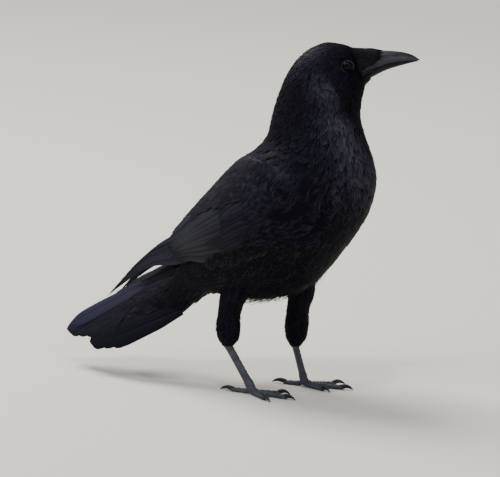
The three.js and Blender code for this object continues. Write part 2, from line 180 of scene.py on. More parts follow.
# %% From the drawing to the frame
EYE = dict(x=70.2, side=11.4, z=294.3, radius=6.6)     # its middle, and how far it lies aside
eye_middle = head_turned(np.array([EYE["x"], 0.0, EYE["z"]]))
eye_boxes = np.array([[list(c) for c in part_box("eye_" + side)] for side in ("left", "right")])
SHIFT = np.array([eye_boxes[..., 0].mean() * 1000 - eye_middle[0], 0, 0])


def to_frame(points):
    """Metres in the frame, whose origin is under the middle of the whole crow."""
    return (np.asarray(points) + SHIFT) * 0.001


print("the drawing's origin lies", round(float(SHIFT[0]), 2), "mm ahead of the frame's")

# %% [markdown]
# The camera looks at the bird from its right and a little from the front, and a little from above.
# A long lens from five metres keeps the bird's outline nearly free of perspective.

# %% Camera
VIEW_TURN, VIEW_DROP, VIEW_DISTANCE = math.radians(28), math.radians(12), 5.0
FIELD_WIDTH = 0.44               # metres across the view at the bird
AIM_X, AIM_Y, AIM_HEIGHT = 0.0138, 0.0151, 0.412     # metres, metres, share of the bird's height
SENSOR = 36.0                    # millimetres across the camera's film
aim = Vector((AIM_X, AIM_Y, AIM_HEIGHT * cad_high.z))
look = Vector((-math.sin(VIEW_TURN) * math.cos(VIEW_DROP),
               math.cos(VIEW_TURN) * math.cos(VIEW_DROP), -math.sin(VIEW_DROP)))
camera = bpy.data.objects.new("camera", bpy.data.cameras.new("camera"))
camera.data.sensor_width = SENSOR
camera.data.lens = SENSOR * VIEW_DISTANCE / FIELD_WIDTH
camera.data.clip_start, camera.data.clip_end = 0.1, 60
camera.location = aim - look * VIEW_DISTANCE
camera.rotation_euler = look.to_track_quat("-Z", "Y").to_euler()
bpy.context.scene.collection.objects.link(camera)
bpy.context.scene.camera = camera
print("lens", round(camera.data.lens), "mm, camera at", [round(x, 2) for x in camera.location])

# %% [markdown]
# Black plumage shows its form only by what it reflects. So the lights are big and soft: a strong
# one high behind the bird rims its back and folded wings, and weaker ones on its right fill the
# throat and legs. One small lamp makes the spark in the eye. A pale floor returns a little light
# from below.

# %% Light and floor
BIRD_MIDDLE = Vector((0, 0, 0.17))
# name, place in metres, width in metres, power in watts, colour
LAMPS = [
    ("key", (-1.3, 0.5, 2.3), 1.3, 100, (1, 0.98, 0.95)),
    ("sky", (-0.9, -1.7, 2.1), 1.3, 24, (0.86, 0.91, 1)),
    ("front", (2.0, -1.4, 1.0), 1.2, 13, (0.95, 0.96, 1)),
    ("spark", (0.30, -0.80, 2.33), 0.2, 14, (1, 1, 1)),
]
for name, place, size, power, colour in LAMPS:
    data = bpy.data.lights.new(name, "AREA")
    data.size, data.energy, data.color = size, power, colour
    lamp = bpy.data.objects.new(name, data)
    lamp.location = place
    lamp.rotation_euler = (BIRD_MIDDLE - lamp.location).to_track_quat("-Z", "Y").to_euler()
    bpy.context.scene.collection.objects.link(lamp)

world = bpy.data.worlds.new("studio")
world.use_nodes = True
background = world.node_tree.nodes["Background"]
background.inputs["Color"].default_value = (0.93, 0.95, 1, 1)
background.inputs["Strength"].default_value = 0.45
bpy.context.scene.world = world

FLOOR_HALF = 9.0                 # metres
floor_mesh = bpy.data.meshes.new("floor")
corners = [(x * FLOOR_HALF, y * FLOOR_HALF, 0) for x, y in ((-1, -1), (1, -1), (1, 1), (-1, 1))]
floor_mesh.from_pydata(corners, [], [(0, 1, 2, 3)])
floor = bpy.data.objects.new("floor", floor_mesh)
bpy.context.scene.collection.objects.link(floor)
paper = bpy.data.materials.new("pale_floor")
paper.use_nodes = True
floor_shader = paper.node_tree.nodes["Principled BSDF"]
floor_shader.inputs["Base Color"].default_value = (0.66, 0.62, 0.54, 1)
floor_shader.inputs["Roughness"].default_value = 0.9
floor_mesh.materials.append(paper)
print("lamps:", len(bpy.data.lights))

# %% [markdown]
# A crow isn't flat black. Each feather is a dark sheet whose fine barbs catch light in streaks, and
# whose surface tints its shine blue and violet. The colour is nearly the same all over, so what
# differs is worked out from each vane's own map: X runs across it, Y from quill to tip. The tint
# of the shine is set on the shader itself, where it stays when the model is exported.

# %% Shader nodes


def new_material(name, roughness, tint, shine):
    """A material with its shader's plain numbers set, its node tree, and the shader."""
    made = bpy.data.materials.new(name)
    made.use_nodes = True
    shader = made.node_tree.nodes["Principled BSDF"]
    shader.inputs["Roughness"].default_value = roughness
    shader.inputs["Specular Tint"].default_value = (*tint, 1)
    shader.inputs["Specular IOR Level"].default_value = shine
    return made, made.node_tree, shader


def node(tree, kind, inputs=(), **settings):
    """A node with its settings and inputs; an input is a number, a colour or another's socket."""
    made = tree.nodes.new(kind)
    for key, value in settings.items():
        setattr(made, key, value)
    for key, value in dict(inputs).items():
        if isinstance(value, bpy.types.NodeSocket):
            tree.links.new(value, made.inputs[key])
        else:
            made.inputs[key].default_value = value
    return made


def maths(tree, operation, a, b=0.0, c=0.0):
    """The socket of a sum worked out by a Math node."""
    return node(tree, "ShaderNodeMath", {0: a, 1: b, 2: c}, operation=operation).outputs[0]


def ramp(tree, value, low, high, dark, pale):
    """A colour that runs from dark to pale while a value runs from low to high."""
    made = node(tree, "ShaderNodeValToRGB", {0: value})
    made.color_ramp.elements[0].position, made.color_ramp.elements[1].position = low, high
    made.color_ramp.elements[0].color, made.color_ramp.elements[1].color = (*dark, 1), (*pale, 1)
    return made.outputs[0]


def noise(tree, place, scale, detail):
    """The socket of a noise from 0 to 1 over a place."""
    inputs = {"Vector": place, "Scale": scale, "Detail": detail}
    return node(tree, "ShaderNodeTexNoise", inputs).outputs["Fac"]


def finish_look(tree, shader, colour, roughness=None, height=None, strength=0.3, distance=0.0003):
    """Links a shader to the sockets of its colour and, where they are given, of its roughness and
    of a height whose slope tilts its surface."""
    tree.links.new(colour, shader.inputs["Base Color"])
    if roughness is not None:
        tree.links.new(roughness, shader.inputs["Roughness"])
    if height is not None:
        inputs = {"Strength": strength, "Distance": distance, "Height": height}
        relief = node(tree, "ShaderNodeBump", inputs)
        tree.links.new(relief.outputs[0], shader.inputs["Normal"])


# %% Feather material
BARB_SLANT = 0.35                # how far a barb leans to the tip on its way to the edge
TONE_SHARE, STREAK_SHARE, DARKER = 0.75, 0.6, -0.5     # what makes a vane pale, less an even part


def feather_material(name, dark, pale, roughness, tint, barbs, shine, edge=0.25, bump=0.35):
    """Barbs slant from the shaft to the edge, so a line along a barb has one value of
    along - BARB_SLANT x (distance from the shaft). Noise over that value makes streaks. The colour
    runs from dark to pale with the streaks, with each vane's own tone, and by a share called edge
    from its shaft to its edge."""
    made, tree, shader = new_material(name, roughness, tint, shine)
    across_along = node(tree, "ShaderNodeUVMap", uv_map="Vane").outputs[0]
    split = node(tree, "ShaderNodeSeparateXYZ", {0: across_along})
    off_centre = maths(tree, "SUBTRACT", split.outputs[0], 0.5)
    off_shaft = maths(tree, "ABSOLUTE", off_centre)
    along_barb = maths(tree, "MULTIPLY_ADD", off_shaft, -2 * BARB_SLANT, split.outputs[1])
    tone = node(tree, "ShaderNodeAttribute", attribute_name="tone").outputs["Fac"]
    place = node(tree, "ShaderNodeCombineXYZ", {
        0: maths(tree, "MULTIPLY", along_barb, barbs),
        1: maths(tree, "MULTIPLY", off_centre, 2.0),
        2: maths(tree, "MULTIPLY", tone, 40.0)})
    streak = noise(tree, place.outputs[0], 1.0, 3.0)
    streaky = maths(tree, "MULTIPLY_ADD", streak, STREAK_SHARE, DARKER)
    toned = maths(tree, "MULTIPLY_ADD", tone, TONE_SHARE, streaky)
    paleness = maths(tree, "MULTIPLY_ADD", off_shaft, 2 * edge, toned)
    colour = ramp(tree, paleness, 0.0, 0.85, dark, pale)
    duller = maths(tree, "MULTIPLY_ADD", tone, -0.12, roughness + 0.03)
    rough = maths(tree, "MULTIPLY_ADD", streak, 0.2, maths(tree, "SUBTRACT", duller, 0.1))
    finish_look(tree, shader, colour, rough, streak, bump)
    return made


BODY_LOOK = feather_material("body_feather", (0.0014, 0.0014, 0.0019), (0.054, 0.050, 0.072),
                             0.6, (0.62, 0.60, 1.0), 8, shine=0.09)
print("nodes of a feather's material:", len(BODY_LOOK.node_tree.nodes))

# %% [markdown]
# A shape of the body is a surface with two parameters. To lay a feather on it, one has to know, at
# its root, which way is out, and how far a step of each parameter goes. Small steps to both sides
# give the two slopes, and their cross product points out. A feather's length and width in
# millimetres are then solved back into steps of the parameters, so that it walks on the surface
# and follows its curves, while its height over it only says how the layers lie.

# %% Walking on a surface
STEP = 1e-3                      # the small step of a parameter that a slope is measured over


def frame_of(surface, u, v):
    """A surface's place, its slopes along u and v by small steps, and the direction out of it,
    which is the cross product of the slope along v and the slope along u."""
    along = (surface(u + STEP, v) - surface(u - STEP, v)) / (2 * STEP)
    across = (surface(u, v + STEP) - surface(u, v - STEP)) / (2 * STEP)
    return surface(u, v), along, across, unit(np.cross(across, along))


def steps_per_mm(along, across, direction):
    """How much u and v grow for one millimetre in a direction along the surface: the two slopes
    times the two steps add up to the direction, solved as two equations."""
    e, f, g = dot(along, along), dot(along, across), dot(across, across)
    a, b = dot(direction, along), dot(direction, across)
    return np.stack([g * a - f * b, e * b - f * a]) / (e * g - f * f)


def walk(surface, u, v, turn):
    """Steps of (u, v) per millimetre along each vane's lie and to its side. The lie is the way u
    grows, turned by some radians about the direction out of the surface."""
    _, along, across, out = frame_of(surface, u, v)
    ahead = unit(along)
    aside = np.cross(out, ahead)
    lie = ahead * np.cos(turn)[:, None] + aside * np.sin(turn)[:, None]
    return steps_per_mm(along, across, lie), steps_per_mm(along, across, np.cross(out, lie))


# %% [markdown]
# A vane is a small closed leaf: a grid of points on top and one underneath that share their rim.
# All the vanes of a piece are laid at once, so a vane is one row of every array.

# %% The faces and the outline of a vane


def vane_faces(rows, columns):
    """The quads of one closed vane: a top grid, and under it a grid that shares the top's rim and
    has its own points inside."""
    top = np.arange(rows * columns).reshape(rows, columns)
    under = top.copy()
    under[1:-1, 1:-1] = rows * columns + np.arange((rows - 2) * (columns - 2)).reshape(
        rows - 2, columns - 2)
    quads = []
    for grid, order in ((top, (0, 1, 2, 3)), (under, (3, 2, 1, 0))):
        corners = [grid[:-1, :-1], grid[1:, :-1], grid[1:, 1:], grid[:-1, 1:]]
        quads.append(np.stack([corners[k] for k in order], -1).reshape(-1, 4))
    return np.concatenate(quads)


class Vane:
    """The outline of a kind of feather: places along it, the half width at each as a share of the
    widest, and places across it. The tip is rounded by drawing its sides back, and a skew makes
    one side broad and the other narrow, as on flight feathers."""

    CROWDING = 1.7               # the power that sets the rows closer together at the tip

    def __init__(self, outline, rows, columns, rounding=0.1, skew=0.0):
        outline = np.array(outline, float)
        self.s = 1 - (1 - np.linspace(0, 1, rows)) ** self.CROWDING
        self.half = np.interp(self.s, outline[:, 0], outline[:, 1])
        self.w = np.asarray(columns, float)
        self.along = self.s[:, None] - rounding * self.w ** 2 * self.s[:, None] ** 5
        self.across = self.half[:, None] * self.w * (1 - skew * np.sign(self.w))
        self.faces = vane_faces(rows, len(self.w))
        self.points = 1 + self.faces.max()


# %% Laying vanes
PER_POINT = ("points", "Vane", "OFBake", "tone")     # what a lot of vanes keeps for each point
ROOT_CURVE = 1.4                 # the power by which a vane comes up from its sunk root
SHAFT_TAPER = 0.8                # the share of the shaft's height that is gone at the tip
BAKE_SIZE = 0.003                # the width of a small vane's own part of the map OFBake


def inset(share, margin):
    """A share from 0 to 1, drawn in by a margin at both ends."""
    return margin + (1 - 2 * margin) * share


def both(grid):
    """A grid's points followed by its inner ones once more, for the under side."""
    inner = grid[:, 1:-1, 1:-1]
    flat = (len(grid), -1) + grid.shape[3:]
    return np.concatenate([grid.reshape(flat), inner.reshape(flat)], 1)


def lay(surface, kind, u, v, length, width, lie, side, *, sink, thick, tone, rise=0.0, camber=0.0,
        layer=0.0, bend=0.0, tilt=0.0, shaft=0.0, arch=0.0, box=None, strips=None):
    """Lays one vane from each root. Its place on the surface is the root plus length times the
    steps along its lie, plus half its width times the steps to its side, which bend grows towards
    the tip. Its height is a layer, minus sink at the root, plus rise at the tip, plus arch half
    way, minus camber at both edges, plus tilt towards the edge that lies on its neighbour, plus
    the shaft's ridge. Its place in OFBake is its root's share of a box of (u, v)."""
    n = len(u)

    def grow(value):
        """A number, or one for each vane, shaped to spread over the vanes' grids."""
        return np.broadcast_to(value, n)[:, None, None].astype(float)

    x = grow(length) * kind.along
    y = 0.5 * grow(width) * kind.across + grow(bend) * x * kind.along
    uu = u[:, None, None] + x * lie[0][:, None, None] + y * side[0][:, None, None]
    vv = v[:, None, None] + x * lie[1][:, None, None] + y * side[1][:, None, None]
    place, _, _, out = frame_of(surface, uu, vv)
    height = (grow(layer) + grow(rise) * kind.along ** 2
              - grow(sink) * (1 - kind.along) ** ROOT_CURVE
              - grow(camber) * kind.across ** 2 + grow(tilt) * kind.across
              + 4 * grow(arch) * kind.along * (1 - kind.along)
              + shaft * (kind.w == 0) * (1 - SHAFT_TAPER * kind.s[:, None]))
    top = place + out * height[..., None]
    points = np.concatenate([top.reshape(n, -1, 3), (top - thick * out)[:, 1:-1, 1:-1].reshape(
        n, -1, 3)], 1)
    low, high = box or ((u.min(), v.min()), (u.max(), v.max()))
    home = (np.stack([u, v], -1) - low) / np.maximum(np.subtract(high, low), 1e-6)
    across = np.broadcast_to(kind.w * 0.5 + 0.5, x.shape)
    along = np.broadcast_to(kind.s[:, None], x.shape)
    vane_map = both(np.stack([across, along], -1))
    bake_map = inset(home[:, None, :], 0.01) + BAKE_SIZE * (vane_map - 0.5)
    if strips:                   # a long feather has a strip of the map to itself
        first, total = strips
        strip = (first + np.arange(n)[:, None] + inset(vane_map[..., 0], 0.04)) / total
        bake_map = np.stack([strip, inset(vane_map[..., 1], 0.02)], -1)
    return dict(points=points.reshape(-1, 3), Vane=vane_map.reshape(-1, 2),
                OFBake=bake_map.reshape(-1, 2), tone=np.repeat(tone, kind.points),
                quads=quads_of(kind, n))


def quads_of(kind, number):
    """The quads of a number of vanes of one kind."""
    return (kind.faces[None] + kind.points * np.arange(number)[:, None, None]).reshape(-1, 4)


def clear_of(vanes, kind, middles, radius):
    """The vanes that have no point nearer than the radius to any of the middles."""
    points = vanes["points"].reshape(-1, kind.points, 3)
    apart = np.linalg.norm(points[:, :, None] - np.asarray(middles), axis=-1).min((1, 2))
    clear = apart > radius
    kept = np.repeat(clear, kind.points)
    return dict({key: vanes[key][kept] for key in PER_POINT}, quads=quads_of(kind, clear.sum()))


def together(parts):
    """Several lots of vanes as one."""
    first = np.cumsum([0] + [len(p["points"]) for p in parts])
    quads = np.concatenate([p["quads"] + k for p, k in zip(parts, first)])
    return dict({key: np.concatenate([p[key] for p in parts]) for key in PER_POINT}, quads=quads)


def mirrored(vanes):
    """The same vanes on the right side, with their faces turned round to point outwards."""
    return dict(vanes, points=vanes["points"] * [1, -1, 1], quads=vanes["quads"][:, ::-1])


# %% Making pieces
RIM_ANGLE = math.radians(75)     # a vane's rim stays crisp


def add_piece(name, data, material, *nodes):
    """A piece of plumage from arrays of points, quads, maps and tones."""
    mesh = bpy.data.meshes.new(name)
    points, quads = data["points"], data["quads"]
    mesh.vertices.add(len(points))
    mesh.vertices.foreach_set("co", to_frame(points).astype(np.float32).ravel())
    mesh.loops.add(quads.size)
    mesh.loops.foreach_set("vertex_index", quads.astype(np.int32).ravel())
    mesh.polygons.add(len(quads))
    mesh.polygons.foreach_set("loop_start", np.arange(0, quads.size, 4, dtype=np.int32))
    mesh.update(calc_edges=True)
    mesh.shade_smooth()
    mesh.set_sharp_from_angle(angle=RIM_ANGLE)
    for key in ("Vane", "OFBake"):
        layer = mesh.uv_layers.new(name=key)
        layer.uv.foreach_set("vector", data[key][quads.ravel()].astype(np.float32).ravel())
    tone = mesh.attributes.new("tone", "FLOAT", "POINT")
    tone.data.foreach_set("value", data["tone"].astype(np.float32))
    dress(bpy.data.objects.new(name, mesh), material, "plumage", *nodes)


def dress(piece, material, slot, *nodes):
    """Gives a piece its material, its body and the solids that it stands for; the slot is not used."""
    piece.data.materials.append(material)
    if piece.name not in bpy.context.scene.collection.objects:
        bpy.context.scene.collection.objects.link(piece)
    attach(piece, "root")
    if nodes:
        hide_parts(*nodes)
    triangles = len(piece.data.loops) - 2 * len(piece.data.polygons)
    print(f"{piece.name}: {triangles} triangles")


chance = np.random.default_rng(20)
print("one small vane has", len(vane_faces(5, 3)) * 2, "triangles")

# %% [markdown]
# The folded wings lie on the body as two thin bowed shells each: the arm, with its coverts,
# secondaries and tertials, and the hand, with the long primaries. Each slice of them is a bow from
# an upper edge over a fullest line to a lower edge. Only the left wing is drawn, and the right
# one is its mirror image.

# %% The drawing of the wings
# upper edge, fullest line and lower edge, each x, y, z, and the depth of the folded feathers
ARM = np.array([
    [45, 45, 205, 58, 47.5, 198, 66, 45, 188, 4],              # 0 wrist
    [12, 39.5, 214, 38, 52, 194, 60, 47, 170, 7],              # 1 front edge
    [-21, 18, 209.5, 6, 53, 181, 31, 52, 149, 9],              # 2 elbow
    [-53, 9, 182, -22, 50, 162, -2, 53, 134, 9],               # 3 tertials
    [-80, 5, 154, -52, 39, 145, -36, 47, 122, 7],              # 4 secondaries
    [-104, 4, 126.5, -86, 22, 125, -70, 34, 117, 3],           # 5 tips of the arm's feathers
], float)
HAND = np.array([
    [-66, 9, 143, -54, 31, 132, -44, 40, 120, 2.5],            # 0 hidden by the secondaries
    [-100, 9, 124, -90, 20, 117, -79, 28, 110, 2.5],           # 1 where they leave them
    [-126, 10, 104, -121, 14, 102, -113, 18, 100, 2],          # 2 the blade
    [-146, 11, 84, -143, 12, 83, -139, 14, 82, 1.6],           # 3 the taper
    [-160, 12, 69, -159, 12.3, 68.7, -158, 12.6, 68.4, 1],     # 4 the point
], float)


def bow(slices, u, v):
    """A quadratic curve in v from the upper edge (0) over the fullest line (0.5) to the lower edge
    (1), whose ends and middle are smooth in u from slice to slice."""
    u, v = np.broadcast_arrays(u, v)
    row = through(slices, u)
    upper, full, lower = row[..., 0:3], row[..., 3:6], row[..., 6:9]
    control = 2 * full - 0.5 * (upper + lower)
    f = v[..., None]
    return (1 - f) ** 2 * upper + 2 * f * (1 - f) * control + f ** 2 * lower


def arm(u, v):
    """The outer face of the left wing's arm."""
    return bow(ARM, u, v)


def hand(u, v):
    """The outer face of the left wing's hand."""
    return bow(HAND, u, v)


EDGE_V = 0.05                    # the cape rests on the wings just outside their upper edges
WING_DEPTH = 62.0                # from a wing's upper edge to its lower one
CROWN_AT, CROWN = [1, 2, 2.4, 2.8, 3.3, 4], [3.0, 3.2, 4.4, 4.2, 2.0, 1.2]    # the cape's arch
SHOULDER_ROUND = 1.3             # how far the cape's bend over a wing's edge is drawn in


def cape(u, v):
    """The back from wing to wing: u as on the arm, v millimetres to the left of the midline."""
    u, v = np.broadcast_arrays(u, v)
    edge = arm(u, np.full(u.shape, EDGE_V))
    beyond = np.maximum(np.abs(v) - edge[..., 1], 0)
    wing = arm(u, EDGE_V + beyond / WING_DEPTH)
    share = np.minimum(np.abs(v) / edge[..., 1], 1)
    wing[..., 1] = np.where(share < 1, np.abs(v), wing[..., 1]) * np.sign(v + 1e-9)
    wing[..., 2] += np.interp(u, CROWN_AT, CROWN) * (1 - share ** 2)
    wing[..., 2] -= SHOULDER_ROUND * np.exp(-((np.abs(v) - edge[..., 1]) / 5) ** 2)
    return wing


print("wing from wrist to tips:", round(float(np.linalg.norm(arm(0.0, 0.5) - hand(4.0, 0.5)))), "mm")

# %% [markdown]
# Under all the feathers is one skin. It could be three lofts left overlapping, but then seams would
# show between the feathers, so lofts of body, wings and thighs are laid a few millimetres inside
# the plumage, joined into one mesh and remeshed as one closed surface.

# %% The thighs
# x, y, z, half size fore and aft, half size across, from the belly to the ankle
THIGH = {
    "right": np.array([[-14, -20, 114, 15, 13], [-18, -24, 99, 16, 14], [-24, -27, 84, 12.5, 11.5],
                       [-28, -27, 70, 10.5, 10], [-29.3, -27, 57, 11.2, 10.5],
                       [-29, -27, 47.5, 10, 8.5], [-29.5, -27, 42, 6, 5]], float),
    "left": np.array([[8, 20, 114, 15, 13], [12, 24, 98, 16, 13.5], [14.5, 27, 82, 12.5, 11.5],
                      [11.5, 27, 66, 10.3, 10], [10.3, 27, 53, 11, 10.5], [9.8, 27, 41, 9.2, 8.5],
                      [9.2, 27, 34, 5, 5]], float),
}


def thigh_surface(side):
    """The plumage of a thigh: level ellipses at row u, run round by v from the front."""
    def surface(u, v):
        u, v = np.broadcast_arrays(u, v)
        row = through(THIGH[side], u)
        turn = -2 * np.pi * v
        return np.stack([row[..., 0] + row[..., 3] * np.cos(turn),
                         row[..., 1] + row[..., 4] * np.sin(turn), row[..., 2]], -1)
    return surface


# %% The skin under the plumage


def inside(surface, us, vs, depth):
    """A grid on a surface moved inwards by a depth that may differ from row to row."""
    u, v = np.meshgrid(us, vs, indexing="ij")
    place, _, _, out = frame_of(surface, u, v)
    return place - out * np.broadcast_to(depth, len(us))[:, None, None]


def numbered(rings):
    """The numbers of the points of rows of rings, which all have equally many."""
    rows, around = rings.shape[:2]
    return np.arange(rows * around).reshape(rows, around)


def ring_sides(k):
    """The quads between rows of rings, from the numbers k of their points."""
    after = np.roll(k, -1, 1)
    return np.stack([k[:-1], k[1:], after[1:], after[:-1]], -1).reshape(-1, 4)


def tube(rings):
    """A closed body through rings, each end one flat face."""
    k = numbered(rings)
    return rings.reshape(-1, 3), [*ring_sides(k).tolist(), k[0].tolist(), k[-1][::-1].tolist()]


def joined(bodies):
    """The points, in the frame's metres, and the faces of several bodies as one."""
    points, faces = [], []
    for body_points, body_faces in bodies:
        first = sum(len(p) for p in points)
        points.append(body_points)
        faces += [[first + i for i in face] for face in body_faces]
    return to_frame(np.vstack(points)).tolist(), faces


# The coat's depth: on the body at these slices, on the wing and on the thigh
DEPTH_AT, DEPTH = [0, 2, 4, 6, 9, 13, 14, 15.2, 17], [1.6, 2.2, 3, 4, 5, 5.5, 7.5, 10, 4]
WING_COAT, THIGH_COAT = 4.5, 2.2
VOXEL = 0.0018                   # metres


def wing_core():
    """Rings of the arm's flesh: the outer face moved in, closed by the same face moved in more."""
    us, vs = np.linspace(0.25, 3.7, 20), np.linspace(0.08, 0.92, 12)
    depth = through(ARM, us)[:, 9]
    outer = inside(arm, us, vs, np.minimum(WING_COAT, 0.6 * depth))
    inner = inside(arm, us, vs, depth + 1.5)
    return np.concatenate([outer, inner[:, ::-1]], 1)


us = np.linspace(0.1, 16.6, 67)
thigh_us = np.linspace(0, 5.85, 24)
cores = [inside(body, us, np.arange(48) / 48, np.interp(us, DEPTH_AT, DEPTH)),
         wing_core(), wing_core() * [1, -1, 1]]
cores += [inside(thigh_surface(side), thigh_us, np.arange(24) / 24, THIGH_COAT)
          for side in ("right", "left")]
points, faces = joined(tube(rings) for rings in cores)
skin_mesh = bpy.data.meshes.new("skin")
skin_mesh.from_pydata(points, [], faces)
skin = bpy.data.objects.new("skin", skin_mesh)
bpy.context.scene.collection.objects.link(skin)
bpy.context.view_layer.objects.active = skin
fuse = skin.modifiers.new("fuse", "REMESH")
fuse.mode, fuse.voxel_size = "VOXEL", VOXEL
smooth = skin.modifiers.new("smooth", "SMOOTH")
smooth.factor, smooth.iterations = 0.5, 6
bpy.ops.object.modifier_apply(modifier="fuse")
bpy.ops.object.modifier_apply(modifier="smooth")
skin.data.shade_smooth()
print("skin remeshed:", len(skin.data.polygons), "faces")

# %% [markdown]
# Bare skin would shine between the feathers, so it is the same black as their down, with a soft
# grain of noise on the object's own coordinates.

# %% Skin material
down_look, tree, shader = new_material("down", 0.75, (0.8, 0.78, 1.0), 0.25)
here = node(tree, "ShaderNodeTexCoord").outputs["Object"]
grain = noise(tree, here, 700.0, 3.0)
black = ramp(tree, grain, 0.3, 0.8, (0.003, 0.003, 0.004), (0.010, 0.009, 0.012))
finish_look(tree, shader, black, height=grain, strength=0.6, distance=0.0006)
dress(skin, down_look, "plumage", "head", "neck", "trunk", "wing_right", "wing_left",
      "thigh_right", "thigh_left")

# %% [markdown]
# Feathers grow in an order that looks loose. Plain random roots would leave bald spots, and a strict
# grid would look like knitting. A low-discrepancy sequence gives an even, never repeating
# scatter. It is bent through the running total of the area, so that every square millimetre
# of the surface gets its share, with more roots where the feathers are small.

# %% Scattering roots
GOLD = 1.32471795724474602596    # its powers step evenly through a square
GRID = 120                       # the rows and columns that the area is summed over
ALMOST = 0.9999                  # keeps a number under 1 from reaching the next row's


def scatter(surface, u_range, v_range, spacing, keep=None):
    """Even roots over part of a surface, at a spacing in millimetres that is a number or a function
    of (u, v), less those that keep(u, v) denies. Their number is the sum of area over spacing
    squared, and the sequence n times 1 / GOLD and n times 1 / GOLD squared, wrapped to 0..1, is
    read first through the rows' running total and then through that of its own row."""
    us, vs, rows = np.linspace(*u_range, GRID), np.linspace(*v_range, GRID), np.arange(GRID)
    step_u, step_v = us[1] - us[0], vs[1] - vs[0]
    u, v = np.meshgrid(us, vs, indexing="ij")
    _, along, across, _ = frame_of(surface, u, v)
    space = spacing(u, v) if callable(spacing) else spacing
    share = np.linalg.norm(np.cross(along, across), axis=-1) * (step_u * step_v) / space ** 2
    n = np.arange(1, int(share.sum()) + 1)
    a, b = (0.5 + n / GOLD) % 1, (0.5 + n / GOLD ** 2) % 1
    where = np.interp(a, np.cumsum(share.sum(1)) / share.sum(), rows)
    row = np.clip(np.round(where).astype(int), 0, GRID - 1)
    columns = np.cumsum(share, 1) / share.sum(1, keepdims=True)
    spot = np.searchsorted((columns + rows[:, None]).ravel(), row + b * ALMOST)
    spot = np.clip(spot - row * GRID, 0, GRID - 1)
    shake = chance.uniform(-0.5, 0.5, (2, len(n)))
    u = np.interp(where, rows, us) + shake[0] * step_u
    v = vs[spot] + shake[1] * step_v
    kept = np.full(len(n), True) if keep is None else keep(u, v)
    return u[kept], v[kept]


def strewn(surface, u_range, v_range, spacing, wild, turn=0.0, keep=None):
    """Scattered roots, and the lie and the side of a vane at each, turned by some radians and by
    disorder of a spread called wild."""
    u, v = scatter(surface, u_range, v_range, spacing, keep)
    return u, v, *walk(surface, u, v, turn + chance.normal(0, wild, len(u)))


# %% Small feathers, and their sizes over the body
# The outlines of small feathers: places along them, and half widths
CONTOUR = Vane([(0, 0.2), (0.39, 0.9), (0.69, 1), (0.905, 0.72), (1, 0.12)], 5, (-1, 0, 1), 0.06)
LANCE = Vane([(0, 0.25), (0.39, 0.95), (0.69, 0.85), (0.905, 0.42), (1, 0.05)], 5, (-1, 0, 1), 0.03)

# Feather length, width and spacing at slices of the body, on the back and on the belly
COAT_AT = [0, 1, 2.5, 4, 5.5, 7, 9, 11, 13, 15, 17]
COAT = {
    "length": ([3.5, 5, 7, 9, 12, 15, 20, 24, 24, 26, 30], [4, 6, 9, 12, 14, 17, 21, 24, 27, 28, 30]),
    "width": ([1.3, 1.8, 2.4, 3, 4, 5, 8, 9.5, 9, 9, 10], [1.3, 2, 2.6, 3, 3.2, 4.2, 6.5, 8, 8, 8, 9]),
    "spacing": ([1.0, 1.2, 1.5, 1.8, 2.1, 2.5, 3.6, 4.5, 4.5, 4.5, 4.8],
                [1.0, 1.3, 1.5, 1.7, 1.9, 2.3, 3.1, 3.8, 4.0, 4.0, 4.5]),
}


def coat(key, u, v):
    """A coat's size at slice u: the back's where v is 0, the belly's where it is 0.5, and between
    them a share by the cosine of the turn."""
    back, belly = (np.interp(u, COAT_AT, values) for values in COAT[key])
    low = 0.5 - 0.5 * np.cos(2 * np.pi * v)
    return back * (1 - low) + belly * low


# %% Where the wings and the cape cover the body
ARM_GRID = np.meshgrid(np.linspace(0, 4.8, 40), np.linspace(0, 1, 24), indexing="ij")
COVERED = 1.5                    # a wing that stands out this far over a root hides its feather
# Nearer to its ends and edges than this, the arm's face hides nothing
RIM = dict(front=0.35, back=4.6, upper=0.06, lower=0.9)
SLANT, SLACK = 1.35, 1.0         # a cover's distance is under its height times SLANT plus SLACK


def near(points, others):
    """For each point, the number of the nearest of the others, looked for in lots of 2000."""
    found = []
    for lot in np.array_split(points, max(1, len(points) // 2000)):
        found.append(np.argmin(((lot[:, None] - others[None]) ** 2).sum(-1), 1))
    return np.concatenate(found)


def on_left(points):
    """Points brought to the left side of the midline."""
    return np.stack([points[..., 0], np.abs(points[..., 1]), points[..., 2]], -1)


def under_wing(points):
    """True for points of the body that the arm of a wing covers: the nearest point of its outer
    face isn't at the rim and lies further out."""
    u, v = ARM_GRID
    face, _, _, out = frame_of(arm, u, v)
    rim = (u < RIM["front"]) | (u > RIM["back"]) | (v < RIM["upper"]) | (v > RIM["lower"])
    k = near(on_left(points), face.reshape(-1, 3))
    ahead = dot(face.reshape(-1, 3)[k] - on_left(points), out.reshape(-1, 3)[k])
    return (ahead > COVERED) & ~rim.ravel()[k]


def over_body(u, v):
    """How far the outer face of a wing, or the cape between the wings, stands over places on the
    body, where one covers them."""
    place, _, _, out = frame_of(body, u, v)
    across, along = np.meshgrid(np.linspace(0, 1, 10), np.linspace(1, 3.4, 26))
    bridge = cape(along, across * arm(along, EDGE_V)[..., 1])
    cover = np.concatenate([arm(*ARM_GRID).reshape(-1, 3), bridge.reshape(-1, 3)])
    gap = cover[near(on_left(place), cover)] - on_left(place)
    height = dot(gap, out * np.where(place[:, 1:2] < 0, [1, -1, 1], 1))
    return np.where(np.linalg.norm(gap, axis=-1) < SLANT * np.abs(height) + SLACK, height, 0)
